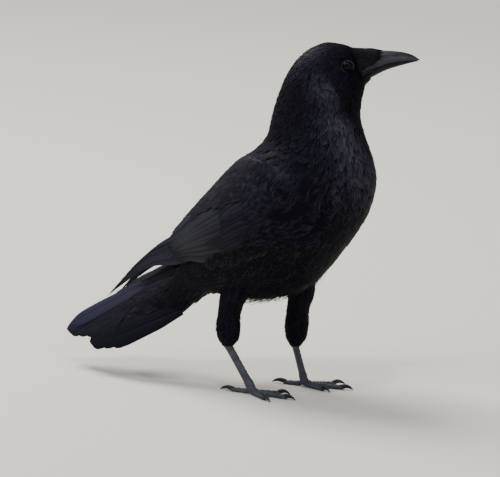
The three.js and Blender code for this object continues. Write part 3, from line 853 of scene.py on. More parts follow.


# %% [markdown]
# The tone of a vane says how pale its streaks are. It is low nearly everywhere and rises in soft
# hills over the ear, the throat and the front of the breast, on both sides alike. These hills, and
# fainter ones on the crown and the shoulder, are painted sheen: pale streaks where light catches the
# plumage.

# %% The tone and the lie of the body's feathers
EAR_U, EAR_TURN = 4.2, 0.28      # the ear: its slice, and its turn from the belly line
VENT_U, VENT_SLIM = 15.1, 7.0    # where the vent is flattest, and by how much
CLOSING_RISE = 9.0               # the most that a closing vane's tip lifts to lie over the wing
BODY_SINK = 3.0                  # how deep the vanes' roots lie, less on the head


def hill(x, middle, width):
    """A smooth hill: e to the power of minus the square of (distance from the middle / width)."""
    return np.exp(-((x - middle) / width) ** 2)


def painted_sheen(u, v):
    """Painted sheen: where plumage has pale violet-grey streaks that stand in for light caught on the
    throat, the ear, the crown and the shoulder. Elsewhere it is plain black.
    """
    turn = np.abs(v - 0.5)
    middle = np.interp(u, [5.3, 6.1, 7.6, 8.7], [0.16, 0.13, 0.07, 0.04])
    front = hill(turn, middle, 0.09) * np.interp(u, [4.1, 5.1, 7, 8.5, 10.5], [0, 0.8, 0.8, 0.6, 0])
    ear = 0.8 * hill(turn, EAR_TURN, 0.06) * hill(u, EAR_U, 0.6)
    crown = 0.25 * hill(u, 3, 1.2) * hill(turn, 0.5, 0.2)
    shoulder = 0.15 * hill(u, 9.2, 0.7) * hill(turn, 0.33, 0.07)
    return np.clip(front + ear + crown + shoulder, 0, 1)


def whorl(u, v):
    """How far the vanes round the ear turn away from the lie of their neighbours."""
    away = np.sign(v - 0.5)
    return 0.9 * away * hill(np.abs(v - 0.5), EAR_TURN, 0.07) * hill(u, EAR_U, 0.6)


def slim(u, v):
    """How much flatter than the drawing the plumage lies under the vent."""
    return VENT_SLIM * hill(u, VENT_U, 1.35) * np.maximum(-np.cos(2 * np.pi * v), 0)


def body_vanes(kind, u_range, v_range, size=1.0, dense=1.0, wild=0.10, rise=0.3, closing=False):
    """Vanes over part of the body, less those that a wing hides, with a little disorder. Closing
    ones that reach a wing's edge rise over it, so that the edge doesn't show as a step."""
    u, v = scatter(body, u_range, v_range, lambda a, b: coat("spacing", a, b) / dense,
                   lambda a, b: ~under_wing(body(a, b)))
    n = len(u)
    length = coat("length", u, v) * size * chance.uniform(0.85, 1.15, n)
    width = coat("width", u, v) * size * chance.uniform(0.85, 1.15, n)
    lie, side = walk(body, u, v, chance.normal(0, wild, n) + whorl(u, v))
    tips = rise * chance.uniform(-0.6, 1.4, n)
    arch = np.zeros(n)
    if closing:
        middle, reach = (np.clip(over_body(u + lie[0] * length * s, v + lie[1] * length * s),
                                 0, CLOSING_RISE) for s in (0.5, 1))
        tips = np.where(reach > 1, reach + chance.uniform(0.1, 0.5, n), tips)
        arch = np.clip(middle + 0.4 - 0.25 * tips, 0, None) * (middle > 1)
    return lay(body, kind, u, v, length, width, lie, side,
               sink=BODY_SINK * np.interp(u, [0, 3, 9], [0.45, 0.7, 1]), rise=tips,
               camber=0.10 * width, arch=arch, thick=0.18,
               layer=chance.uniform(-0.35, 0.15, n) - slim(u, v), bend=chance.normal(0, 0.06, n),
               tone=chance.uniform(0, 0.2, n) + painted_sheen(u, v) * chance.uniform(0.3, 1.3, n),
               box=((u_range[0], v_range[0]), (u_range[1], v_range[1])))


# %% Coat of the head, the neck and the underside
eye_side = head_turned(np.array([NECK_X, 1.0, 0.0])) - np.array([NECK_X, 0, 0])
EYES = {"left": eye_middle + EYE["side"] * eye_side, "right": eye_middle - EYE["side"] * eye_side}
LID_OUT, LID_RADIUS = 4.2, 4.9   # the lids' ring stands this far out from the middle of the eye
lid_middles = [EYES["left"] + LID_OUT * eye_side, EYES["right"] - LID_OUT * eye_side]
HEAD_CLEAR, FACE_CLEAR = 5.6, 4.9     # how near to a lid's middle the feathers may come

head_coat = body_vanes(LANCE, (0.2, 5), (0, 1), wild=0.14, rise=0.15)
face_coat = body_vanes(LANCE, (0.2, 3.2), (0, 1), size=0.55, dense=1.25, wild=0.2, rise=0.1)
add_piece("coat_head", together([clear_of(head_coat, LANCE, lid_middles, HEAD_CLEAR),
                                 clear_of(face_coat, LANCE, lid_middles, FACE_CLEAR)]), BODY_LOOK)
# name, kind of vane, slices, turns, and what differs
COATS = [
    ("neck", LANCE, (4.8, 9.4), (0, 1), dict(wild=0.11, dense=1.05, rise=0.2, closing=True)),
    ("breast", CONTOUR, (8.7, 12.5), (0.16, 0.84), dict(wild=0.12, rise=0.1, closing=True)),
    ("belly", CONTOUR, (12.2, 15.4), (0.18, 0.82), dict(wild=0.14, rise=0.2)),
    ("rump", CONTOUR, (13.5, 16.9), (-0.25, 0.25), dict(size=1.1, rise=0.1)),
    ("undertail", CONTOUR, (15.2, 16.9), (0.25, 0.75), dict(size=1.2, rise=0.1)),
]
for name, kind, u_range, v_range, more in COATS:
    add_piece("coat_" + name, body_vanes(kind, u_range, v_range, **more), BODY_LOOK)

# %% [markdown]
# The thighs wear short loose feathers, the trousers, that end just over the joint of the shank.
# They are laid on the level ellipses of each thigh and shorten towards its end.

# %% Coat of the thighs
for side in ("right", "left"):
    leg = thigh_surface(side)
    u, v, lie, aside = strewn(leg, (0.4, 5.7), (0, 1),
                              lambda a, b: np.interp(a, [0, 4, 6], [2.7, 2.2, 1.6]), 0.12)
    n = len(u)
    length = np.interp(u, [0, 3, 4.8, 5.7], [15, 13, 8, 3.5]) * chance.uniform(0.85, 1.15, n)
    width = np.interp(u, [0, 3, 6], [5, 4.2, 2.4])
    trousers = lay(leg, LANCE, u, v, length, width, lie, aside, sink=THIGH_COAT,
                   rise=0.3 * chance.uniform(-0.5, 1.5, n), camber=0.1 * width, thick=0.16,
                   layer=chance.uniform(-0.3, 0.2, n), tone=chance.uniform(0, 0.2, n))
    add_piece("coat_thigh_" + side, trousers, BODY_LOOK)

# %% [markdown]
# The folded wing is a stack. Lowest lie the long primaries, then the secondaries, then the three
# tertials that close over them like a lid. Each feather lies on the next outer one, so every
# outer edge shows as a line. Their roots are hidden by rows of coverts, each row shorter
# than the one it covers. Every feather is a closed vane with a ridge for its shaft, tilted
# a little so that its free edge lies on its neighbour as a roof tile does.

# %% Outlines and looks of the large feathers
FINE = (-1, -0.75, -0.5, -0.25, -0.05, 0, 0.05, 0.25, 0.5, 0.75, 1)
QUILL = Vane([(0, 0.35), (0.3, 0.9), (0.7, 1), (0.88, 0.95), (0.94, 0.82), (0.975, 0.58),
              (0.993, 0.3), (1, 0.06)], 26, FINE, 0.02, 0.25)
POINTED = Vane([(0, 0.6), (0.25, 1), (0.45, 0.85), (0.65, 0.58), (0.85, 0.40), (0.96, 0.24),
                (1, 0.08)], 30, FINE, 0.01, 0.3)
COVERT = Vane([(0, 0.35), (0.2, 0.72), (0.39, 0.9), (0.55, 1), (0.69, 1), (0.81, 0.95), (0.905, 0.8),
               (0.97, 0.5), (1, 0.1)], 9, (-1, -0.5, -0.08, 0, 0.08, 0.5, 1), 0.04, 0.1)

FLIGHT_LOOK = feather_material("flight_feather", (0.0013, 0.0014, 0.002), (0.024, 0.024, 0.032),
                               0.46, (0.50, 0.58, 1.0), 16, edge=0.65, shine=0.15, bump=0.25)
COVERT_LOOK = feather_material("covert_feather", (0.0014, 0.0013, 0.0021), (0.032, 0.030, 0.043),
                               0.48, (0.60, 0.59, 1.0), 10, edge=0.3, shine=0.15, bump=0.3)
CAPE_LOOK = feather_material("cape_feather", (0.0014, 0.0013, 0.002), (0.032, 0.030, 0.043),
                             0.54, (0.60, 0.59, 1.0), 10, edge=0.3, shine=0.11, bump=0.3)


def row_of(surface, kind, roots, tips, width, **more):
    """Vanes from roots to tips, both given as (u, v) on a surface. The length is the distance
    between them over the surface, and the side is square to the lie half way along."""
    roots, tips = np.asarray(roots, float), np.asarray(tips, float)
    steps = np.linspace(0, 1, 9)[:, None, None]
    path = roots + (tips - roots) * steps
    length = np.linalg.norm(np.diff(surface(path[..., 0], path[..., 1]), axis=0), axis=-1).sum(0)
    lie = ((tips - roots) / length[:, None]).T
    u, v = (roots + 0.5 * (tips - roots)).T
    _, along, across, out = frame_of(surface, u, v)
    ahead = unit(along * lie[0][:, None] + across * lie[1][:, None])
    side = steps_per_mm(along, across, np.cross(out, ahead))
    return lay(surface, kind, roots[:, 0], roots[:, 1], length, width, lie, side, **more)


def pairs(u, v):
    """Rows of (u, v), where one of them may be a single number."""
    return np.stack(np.broadcast_arrays(u, v), 1)


def spread(number, first, last):
    """Evenly spread numbers with a little disorder."""
    step = (last - first) / max(number - 1, 1)
    return np.linspace(first, last, number) + chance.uniform(-0.15, 0.15, number) * abs(step)


# %% Flight feathers of the wings
SECONDARIES = 10
# each tertial on the cape: root u, root v, tip u, tip v, width, layer, tone
TERTIALS = np.array([[1.7, 31, 5.1, 14, 23, -0.8, 0.1], [1.8, 21, 4.8, 9, 22, -0.4, 0.2],
                     [1.9, 11, 4.35, 5, 21, 0, 0.35]])
PRIMARY_TIPS = [2.6, 3.45, 3.8, 4.0, 3.85, 3.4, 3.0, 2.7, 2.45]     # u on the hand, outermost first


def wing_feathers(over):
    """One left wing's flight feathers, in the order of its stack. Its tertials close over the
    midline, and lie higher by a little where they are to lie over the other wing's."""
    n = SECONDARIES
    stack = n + len(TERTIALS)
    v = spread(n, 0.97, 0.30)
    secondaries = row_of(arm, QUILL, pairs(1.2 + 0.5 * (0.97 - v), v),
                         pairs(5.05 + 0.32 * v + chance.uniform(-0.04, 0.04, n), v),
                         np.linspace(15, 21, n), sink=1.2, rise=0.2, camber=0.15, tilt=0.55,
                         layer=np.linspace(-2.2, -1.2, n), thick=0.35, shaft=0.35,
                         strips=(0, stack), tone=chance.uniform(0, 0.25, n))
    width, layer, tone = TERTIALS[:, 4:].T
    tertials = row_of(cape, QUILL, TERTIALS[:, 0:2], TERTIALS[:, 2:4], width, sink=0.8, rise=0.2,
                      camber=0.3, tilt=0.4, thick=0.35, shaft=0.3, layer=layer + over,
                      strips=(n, stack), tone=tone)
    n = len(PRIMARY_TIPS)
    starts = pairs(0.05, np.linspace(0.80, 0.25, n))
    ends = pairs(PRIMARY_TIPS, np.linspace(0.45, -0.20, n))
    primaries = row_of(hand, POINTED, starts, ends, np.linspace(8, 15, n), sink=0.3, camber=0.1,
                       tilt=0.35, layer=np.linspace(-1.3, -0.1, n), thick=0.3, shaft=0.3,
                       strips=(0, n), tone=chance.uniform(0.05, 0.35, n))
    return primaries, together([secondaries, tertials])


# %% [markdown]
# Coverts come in rows: greater, then median, then small ones that lie like scales up to the front
# edge.

# %% Coverts
ARM_BOX = ((-0.5, -0.2), (6, 1.1))     # all (u, v) on the arm that a covert's root may have
COVERTS, ALULA = 14, 6           # feathers in a row of coverts, and along the wing's lower edge


def covert_painted_light(u, v):
    """The tone of coverts: random, with a painted highlight at the bend over the wrist, and fading to
    a third towards the lower edge as painted shade.
    """
    # bend is a painted highlight over the wrist
    bend = 0.3 * hill(u, 1.05, 0.35) * hill(v, 0.40, 0.07)
    # the fade towards the lower edge is painted shade
    return np.clip(chance.uniform(0.1, 0.4, len(u)) + bend, 0, 1) * np.interp(v, [0.5, 0.9], [1, 0.3])


def covert_row(root, tip, slant, low, high, width, layer):
    """One row of coverts from v = low, by the lower edge of the arm, up to v = high. Their roots
    and tips lie later in u by slant towards the lower edge."""
    v = spread(COVERTS, low, high)
    later = slant * v ** 1.5 + chance.uniform(-0.05, 0.05, COVERTS)
    return row_of(arm, COVERT, pairs(root + 0.6 * later, v), pairs(tip + later, v), width,
                  sink=1.4, rise=0.2, camber=0.2, tilt=0.4, layer=layer, thick=0.26, shaft=0.15,
                  box=ARM_BOX, tone=covert_painted_light(0.5 * (root + tip) + later, v))


def small_coverts():
    """Small coverts scattered over the front of the arm, below the cape."""
    u, v, lie, side = strewn(arm, (-0.15, 1.75), (0.09, 1.04), 4.6, 0.06,
                             keep=lambda a, b: b > np.interp(a, [0.6, 1.1], [0.08, 0.28]))
    n = len(u)
    return lay(arm, COVERT, u, v, 14 * chance.uniform(0.93, 1.07, n), 9, lie, side, sink=1.5,
               rise=0.15, camber=0.15, thick=0.2, layer=0.15 + chance.uniform(-0.06, 0.06, n),
               shaft=0.06, box=ARM_BOX, tone=covert_painted_light(u + 0.4, v))


def covert_feathers():
    """One left wing's coverts: alula and primary coverts, greater, median and small ones."""
    starts = pairs(spread(ALULA, 0.9, 1.9), spread(ALULA, 1.0, 0.80))
    ends = pairs(spread(ALULA, 3.2, 4.1), spread(ALULA, 1.0, 0.78))
    along_edge = row_of(arm, COVERT, starts, ends, 11, sink=0.8, rise=0.2, camber=0.3, tilt=0.3,
                        layer=np.linspace(-0.9, -0.5, ALULA), thick=0.28, shaft=0.25, box=ARM_BOX,
                        tone=np.full(ALULA, 0.05))
    greater = covert_row(1.5, 2.9, slant=0.8, low=0.97, high=0.25, width=12, layer=-0.5)
    median = covert_row(1.1, 2.15, slant=0.55, low=0.98, high=0.22, width=12, layer=-0.1)
    return together([along_edge, greater, median, small_coverts()])


def flank_feathers():
    """Feathers of one side of the breast and flank that lie over the wing's front and lower edge.
    Their roots are sunk into the body where they start outside the wing."""
    def over_edge(u, v):
        """True for roots below a ragged line that rises towards the shoulder."""
        return v > 0.80 + 0.027 * np.maximum(u, 0) ** 2 + chance.normal(0, 0.02, len(u))

    u, v, lie, side = strewn(arm, (-0.25, 3.7), (0.5, 1.25), 4.2, 0.07, 0.05, over_edge)
    n = len(u)
    outside = np.maximum(np.clip(-u / 0.3, 0, 1), np.clip((v - 0.96) / 0.2, 0, 1))
    length = 22 * chance.uniform(0.85, 1.15, n)
    return lay(arm, CONTOUR, u, v, length, 8.5, lie, side, sink=1.8 + 6 * outside, rise=0.2,
               camber=0.2, thick=0.2, layer=0.9 - 0.7 * outside + chance.uniform(-0.1, 0.1, n),
               tone=chance.uniform(0, 0.25, n), box=((-0.5, -0.2), (6, 1.3)))


RIGHT_OVER_LEFT = 0.7            # how much higher the right wing's tertials lie
for side, flip, over in (("left", lambda vanes: vanes, 0.0), ("right", mirrored, RIGHT_OVER_LEFT)):
    add_piece("coat_flank_" + side, flip(flank_feathers()), BODY_LOOK)
    primaries, secondaries = wing_feathers(over)
    add_piece("primaries_" + side + "_feathers", flip(primaries), FLIGHT_LOOK, "primaries_" + side)
    add_piece("secondaries_" + side, flip(secondaries), FLIGHT_LOOK)
    add_piece("coverts_" + side, flip(covert_feathers()), COVERT_LOOK)

# %% [markdown]
# Between the wings a groove runs down the back. On a crow the mantle and the shoulder feathers of
# both sides close over it. So they are laid on one cape: a bridge from one wing's upper edge to
# the other's that runs on down the outer face of each wing.

# %% The cape of mantle and shoulder feathers
# Sizes at these u of the arm: from vane to vane, half the cape's width, a vane's length and width,
# how far from the midline the layers end, how high they lie on it, and the share of the tone
CAPE_AT = [0.8, 1.5, 2.2, 3, 4]
CAPE = {
    "spacing": [4.2, 5, 6, 7, 8], "half": [62, 56, 42, 26, 8],
    "length": [14, 19, 26, 30, 24], "width": [8.5, 10, 12.5, 15, 15],
    "reach": [62, 56, 42, 27, 14], "height": [0.4, 0.7, 0.9, 1.0, 1.0], "tone": [0.5, 0.8, 1, 1, 1],
}


def cape_size(key, u):
    """One of the cape's sizes at u."""
    return np.interp(u, CAPE_AT, CAPE[key])


def along_wing(u, v, from_edge):
    """How far the cape's vanes turn to lie along a wing where they rest on or near its upper edge,
    so that none crosses the edge and bends down over it."""
    _, along, across, out = frame_of(cape, u, v)
    nearing = (arm(u + 0.3, EDGE_V) - arm(u, EDGE_V))[:, 1] / 0.3
    share = 0.95 * np.clip(1.5 - from_edge / 14, 0, 1)
    lie = along + across * (share * nearing * np.sign(v))[:, None]
    ahead = unit(along)
    return np.arctan2(dot(np.cross(out, ahead), lie), dot(ahead, lie))


u, v = scatter(cape, (0.8, 3.5), (-64, 64), lambda a, b: cape_size("spacing", a))
half = cape_size("half", u) + chance.normal(0, 1.5, len(u))
from_edge = arm(u, EDGE_V)[:, 1] - np.abs(v)
buried = (u < 1.55) & (from_edge > 9)      # under the neck's plumage
u, v, from_edge = (values[(np.abs(v) < half) & ~buried] for values in (u, v, from_edge))
n = len(u)
lie, side = walk(cape, u, v, along_wing(u, v, from_edge) + chance.normal(0, 0.04, n))
length = cape_size("length", u) * chance.uniform(0.93, 1.07, n)
inner = 1 - np.clip(np.abs(v) / cape_size("reach", u), 0, 1) ** 2
layer = inner * cape_size("height", u) + 0.15
deep = 1.5 + 6 * np.clip((2.3 - u) / 0.6, 0, 1) * np.clip(from_edge / 8, 0, 1)
tone = chance.uniform(0, 0.35, n) * cape_size("tone", u)
mantle = lay(cape, COVERT, u, v, length, cape_size("width", u), lie, side, sink=deep, rise=0.15,
             camber=0.2, thick=0.22, layer=layer + chance.uniform(-0.06, 0.06, n), shaft=0.08,
             tone=tone)
add_piece("cape", mantle, CAPE_LOOK)
add_piece("coat_back", body_vanes(CONTOUR, (9.0, 13.8), (-0.2, 0.2)), BODY_LOOK)

# %% [markdown]
# Twelve long feathers make the tail. They lie on a plane that is twisted with the rump and bent
# down at its sides like a roof, with the middle pair on top and each outer one under its
# neighbour. Two sets of coverts hide where they grow from the body.

# %% The drawing of the tail
# x and z of both ends of its axis, from layer to layer, the drop of a side 40 mm out, and how far
# down the axis the feathers start
TAIL = dict(root=(-66.0, 105.0), tip=(-210.0, 28.0), layer=0.45, roof=9.0, start=26.0)
# from the lowered right side to the left: root to the right of the axis, share of the length where
# the tip is, tip to the right of the axis, width
FAN = np.array([
    [36, 0.67, 32.5, 24], [28, 0.74, 29.5, 24], [20, 0.81, 25.5, 26],
    [10, 0.85, 11.5, 24], [6, 0.91, 7, 24], [2, 0.965, 2.5, 24],
    [-2, 0.985, -1.5, 24], [-4, 0.985, -2, 23], [-6.5, 0.98, -2.5, 22],
    [-9, 0.975, -3, 21], [-11, 0.965, -3.5, 20], [-13, 0.955, -4, 20],
])
tail_root = np.array([TAIL["root"][0], 0, TAIL["root"][1]])
tail_along = np.array([TAIL["tip"][0], 0, TAIL["tip"][1]]) - tail_root
tail_length = np.linalg.norm(tail_along)
tail_along = tail_along / tail_length
tail_left = spin(LEFT[None], tail_along, -TAIL_TWIST * np.ones(1))[0]
tail_up = unit(np.cross(tail_along, tail_left))
tail_up = tail_up * np.sign(tail_up[2])


def tail_top(u, v):
    """The tail's upper face: u millimetres from its root and v to its right, bent down by the
    square of v."""
    u, v = np.broadcast_arrays(u, v)
    u, v = u[..., None], v[..., None]
    return tail_root + tail_along * u - tail_left * v - tail_up * TAIL["roof"] * (v / 40) ** 2


def tail_bottom(u, v):
    """The same plane with its right and left exchanged, so that the way out of it is down."""
    return tail_top(u, -np.asarray(v))


# %% The tail's feathers and coverts
TAIL_COUNT = len(FAN)
place = np.arange(TAIL_COUNT) - (TAIL_COUNT - 1) / 2     # from the right to the left
roots, tips = pairs(TAIL["start"], FAN[:, 0]), pairs(tail_length * FAN[:, 1], FAN[:, 2])
RECTRIX = Vane([(0, 0.45), (0.3, 0.8), (0.75, 1), (0.88, 0.97), (0.94, 0.85), (0.975, 0.62),
                (0.993, 0.33), (1, 0.06)], 34, FINE, 0.015, 0.0)
# The feathers of the raised left side get paler streaks: a painted highlight along the tail's upper
# edge.
tail_feathers = row_of(tail_top, RECTRIX, roots, tips, FAN[:, 3],
                       sink=0.0, camber=0.3, tilt=-0.25 * np.sign(place), shaft=0.4, thick=0.4,
                       layer=-TAIL["layer"] * np.abs(place) + 0.3, strips=(0, TAIL_COUNT),
                       tone=np.interp(place, [0, 3.5], [0.05, 0.8]))
TAIL_LOOK = feather_material("tail_feather", (0.0012, 0.0012, 0.0019), (0.013, 0.013, 0.030),
                             0.56, (0.55, 0.55, 1.0), 16, edge=0.15, shine=0.12, bump=0.25)
add_piece("tail_feathers", tail_feathers, TAIL_LOOK, "tail")


def under_tail_coverts(u_range, half, length, layer):
    """Long coverts under the feathers' roots, lying further out where they start than where they
    end."""
    u, v, lie, side = strewn(tail_bottom, u_range, (-half, half), 4.5, 0.05)
    n = len(u)
    high = layer * np.interp(u, u_range, [1, 0.35])
    return lay(tail_bottom, COVERT, u, v, length * chance.uniform(0.85, 1.1, n), 9, lie, side,
               sink=1.5, rise=-0.3 * high, camber=0.5, thick=0.2,
               layer=high + chance.uniform(-0.3, 0.3, n), tone=chance.uniform(0, 0.2, n))


# The rows of coverts over the tail: where they start and end, and how high they lie
OVER_TAIL, OVER_COUNT = [(30, 78, 0.9), (22, 64, 1.5), (14, 50, 2.1)], 9
rows = []
for first, last, layer in OVER_TAIL:
    across = spread(OVER_COUNT, -14, 14)
    rows.append(row_of(tail_top, COVERT, pairs(first, 0.8 * across),
                       pairs(last - 0.02 * across ** 2, across), 9, sink=1.0, camber=0.3,
                       thick=0.22, layer=layer, shaft=0.08, box=((0, -30), (90, 30)),
                       tone=chance.uniform(0, 0.3, OVER_COUNT)))
add_piece("coat_over_tail", together(rows), TAIL_LOOK)
add_piece("coat_under_tail", under_tail_coverts((30, 74), half=24, length=34, layer=4.5),
          BODY_LOOK)

# %% [markdown]
# Bill, legs and claws are horn and scaly skin, so they get no coat. Each is a row of rings. A ring
# holds far more points than the solid's, and its radius carries the plates of the skin.

# %% Closed bodies from rings
EDGE_ANGLE = math.radians(40)    # edges sharper than this aren't smoothed


def facing(points, quads):
    """1 where the faces of a closed body look out of it and -1 where they look in, which is the
    sign of its volume as a sum of triple products."""
    a, b, c, d = (points[quads[:, i]] for i in range(4))
    volume = (dot(a, np.cross(b, c)) + dot(a, np.cross(c, d))).sum()
    return 1 if volume > 0 else -1


def capped(rings):
    """A closed body through rings, each end closed on its own middle."""
    k = numbered(rings)
    sides = ring_sides(k)
    first, last = np.full(k.shape[1], k.size), np.full(k.shape[1], k.size + 1)
    ends = np.concatenate([np.stack([k[0], np.roll(k[0], -1), first], -1),
                           np.stack([np.roll(k[-1], -1), k[-1], last], -1)])
    points = np.vstack([rings.reshape(-1, 3), rings[0].mean(0), rings[-1].mean(0)])
    turn = facing(points, sides)
    return points, [*sides[:, ::turn].tolist(), *ends[:, ::turn].tolist()]


def on_floor(rings):
    """A closed body through rings, flattened where they would reach under the floor."""
    rings[..., 2] = np.maximum(rings[..., 2], 0)
    return capped(rings)


def solid_piece(name, bodies, material, slot, *nodes, marks=None):
    """One piece from several closed bodies."""
    points, faces = joined(bodies)
    mesh = bpy.data.meshes.new(name)
    mesh.from_pydata(points, [], faces)
    mesh.shade_smooth()
    mesh.set_sharp_from_angle(angle=EDGE_ANGLE)
    if marks is not None:
        mark = mesh.attributes.new("mark", "FLOAT", "POINT")
        mark.data.foreach_set("value", marks.astype(np.float32))
    dress(bpy.data.objects.new(name, mesh), material, slot, *nodes)


def turns(count):
    """Angles spread evenly round a circle."""
    return 2 * np.pi * np.arange(count) / count


def rings_on(path, across, upward, wide, tall, around):
    """Rings round a path: its points, the directions across and upward, and two radii."""
    a = turns(around)
    return (path[:, None] + across[:, None] * (wide * np.cos(a))[..., None]
            + upward[:, None] * (tall * np.sin(a))[..., None])


def frame_along(path):
    """The directions across (level) and upward (square to both) at every point of a path."""
    ahead = unit(np.gradient(path, axis=0))
    across = unit(np.cross(ahead, UP))
    return across, np.cross(across, ahead)


# %% [markdown]
# The bill is two horny sheaths. The upper one has a rounded ridge, a sharp cutting edge and a
# slightly hooked tip, and it closes over the lower one like a lid.

# %% Bill
# x, ridge, mouth, keel, half width
BILL = np.array([
    [76, 303, 284.2, 276.5, 8.6], [84, 304.9, 287.2, 278.7, 8.8], [92, 305.2, 290.6, 282.2, 8.1],
    [102, 305.3, 294.3, 287.4, 6.8], [112, 304.8, 296.2, 291, 5.2], [120, 303.7, 296.9, 293.2, 3.7],
    [127, 301.3, 297.1, 295.1, 2.2], [132.5, 297.8, 296.6, 296.2, 0.7],
], float)
MOUTH_GAP = 0.45
LOWER_END = 6.7                  # the lower bill ends just before the last slice
LOWER_WIDTH = 0.93               # its width as a share of the upper one's
ROUNDNESS = 2.2                  # the power of the bill's round side, where 2 would be an ellipse
BILL_RINGS, BILL_AROUND = 72, 44


def bill_part(is_upper, last):
    """One half of the bill, turned with the head. The round side of its rings follows a power
    curve, the other side is the cutting edge, and the tip is rounded."""
    t = np.concatenate([np.linspace(0, last - 0.04, BILL_RINGS), [last - 0.02, last]])
    x, ridge, mouth, keel, half = (column[:, None] for column in through(BILL, t).T)
    top, bottom = (ridge, mouth) if is_upper else (mouth - MOUTH_GAP, keel)
    angle = 2 * np.pi * (np.arange(BILL_AROUND) + 0.5)[None] / BILL_AROUND
    height = (np.sin(angle) + 1) / 2
    away, wide = (height, half) if is_upper else (1 - height, LOWER_WIDTH * half)
    width = wide * np.sign(np.round(np.cos(angle), 9)) * np.sqrt(1 - away ** ROUNDNESS)
    rings = np.stack(np.broadcast_arrays(x, width, bottom + (top - bottom) * height), -1)
    middle = rings[-1].mean(0)
    rings[-1] = middle + 0.35 * (rings[-1] - middle) + [0.15, 0, 0]
    return capped(head_turned(rings))


def horn_material(name, dark, pale, roughness, grain, shine=0.32):
    """Horn: long faint grain, worn paler in blotches."""
    made, tree, shader = new_material(name, roughness, (0.9, 0.93, 1), shine)
    place = node(tree, "ShaderNodeTexCoord").outputs["Object"]
    stretched = node(tree, "ShaderNodeMapping", {"Vector": place, "Scale": grain}).outputs[0]
    fibre = noise(tree, stretched, 1.0, 6.0)
    blotch = noise(tree, place, 160.0, 3.0)
    mix = maths(tree, "MULTIPLY_ADD", fibre, 0.45, maths(tree, "MULTIPLY", blotch, 0.55))
    rough = maths(tree, "MULTIPLY_ADD", mix, 0.25, roughness - 0.1)
    finish_look(tree, shader, ramp(tree, mix, 0.35, 0.68, dark, pale), rough, fibre, 0.12)
    return made


BILL_GRAIN, CLAW_GRAIN = (300, 300, 2600), (500, 500, 500)     # the noise's scale along each axis
UPPER_LOOK = horn_material("upper_bill_horn", (0.006, 0.0055, 0.0072), (0.030, 0.028, 0.036), 0.34,
                           BILL_GRAIN)
# The lower bill is the same horn as the upper in a darker copy with less shine: painted shade under
# the upper bill.
LOWER_BILL_SHADED_LOOK = horn_material("lower_bill_horn_painted_shade", (0.0022, 0.002, 0.0026), (0.007, 0.0065, 0.0085), 0.38,
                           BILL_GRAIN, shine=0.14)
CLAW_LOOK = horn_material("claw_horn", (0.003, 0.003, 0.0035), (0.012, 0.012, 0.014), 0.34,
                          CLAW_GRAIN)
solid_piece("bill_upper_horn", [bill_part(True, len(BILL) - 1.0)], UPPER_LOOK, "bill", "bill_upper")
solid_piece("bill_lower_horn", [bill_part(False, LOWER_END)], LOWER_BILL_SHADED_LOOK, "bill", "bill_lower")

# %% [markdown]
# Stiff bristles point forward over the nostrils, and short ones under the chin. They are the
# narrowest vanes of all, laid on a saddle over the root of the upper bill and on one under the
# root of the lower bill.

# %% Bristles
# x, top, brim, half width: from the forehead and the lores forward along the upper bill
SADDLE = np.array([
    [70, 306.5, 286, 13], [76, 306, 286.5, 12.8], [81, 305.7, 287.5, 11.6], [86, 305.6, 290.5, 10.2],
    [92, 305.8, 294, 9.1], [98, 305.4, 298, 7.6], [105, 304.7, 302, 6.3],
], float)
# the same for the chin: x, lowest line, half width
CHIN = np.array([[77, 272.5, 12.5], [82, 274.5, 11], [86, 277, 9.2], [91, 281, 7.9]], float)
BRISTLE_WIDTH = 0.85
BRISTLE = Vane([(0, 1), (0.4, 0.8), (0.7, 0.45), (0.9, 0.2), (1, 0.04)], 5, (-1, 0, 1), 0)
BRISTLE_LOOK = feather_material("bristle", (0.0014, 0.0014, 0.0018), (0.021, 0.020, 0.025), 0.5,
                                (0.8, 0.8, 1.0), 5, shine=0.12)


def saddle(u, v):
    """Over the root of the upper bill: u from the face (0) forward (1), v from the right brim (0)
    over the ridge to the left brim (1)."""
    u, v = np.broadcast_arrays(u, v)
    x, top, brim, half = np.moveaxis(through(SADDLE, u * (len(SADDLE) - 1)), -1, 0)
    angle = np.pi * (v - 0.5)
    height = np.cos(angle)
    width = half * np.sign(angle) * np.sqrt(np.maximum(1 - height ** ROUNDNESS, 0))
    return head_turned(np.stack([x, width, brim + (top - brim) * height], -1))


def chin(u, v):
    """Under the root of the lower bill: u from the throat (0) forward (1), v from the left side
    (0) under the keel to the right side (1)."""
    u, v = np.broadcast_arrays(u, v)
    x, low, half = np.moveaxis(through(CHIN, u * (len(CHIN) - 1)), -1, 0)
    mouth = np.interp(x, BILL[:, 0], BILL[:, 2])
    angle = np.pi * (0.5 - v)
    height = low + (mouth - 2 - low) * (1 - np.cos(angle))
    return head_turned(np.stack([x, half * np.sin(angle), height], -1))


def bristle_coat(surface, number, last, wide, length):
    """Forward bristles with roots spread at random over a surface that spans the bill. They start
    further forward at its sides, to leave the eyes free."""
    v = 0.5 + wide * chance.uniform(-1, 1, number)
    u = chance.uniform(0, 1, number)
    first = 0.9 * (v - 0.5) ** 2
    u = first + (last - first) * u
    lie, side = walk(surface, u, v, chance.normal(0, 0.12, number))
    return lay(surface, BRISTLE, u, v, chance.uniform(0.7, 1.15, number) * length, BRISTLE_WIDTH,
               lie, side, sink=1.2, rise=chance.uniform(0, 0.5, number), camber=0.1, thick=0.16,
               layer=chance.uniform(-0.7, 0.1, number), bend=chance.normal(0, 0.08, number),
               tone=chance.uniform(0, 0.5, number))


bristles = [bristle_coat(saddle, 1700, last=0.62, wide=0.47, length=11),
            bristle_coat(chin, 420, last=0.6, wide=0.46, length=6)]
add_piece("nasal_bristles", together(bristles), BRISTLE_LOOK)

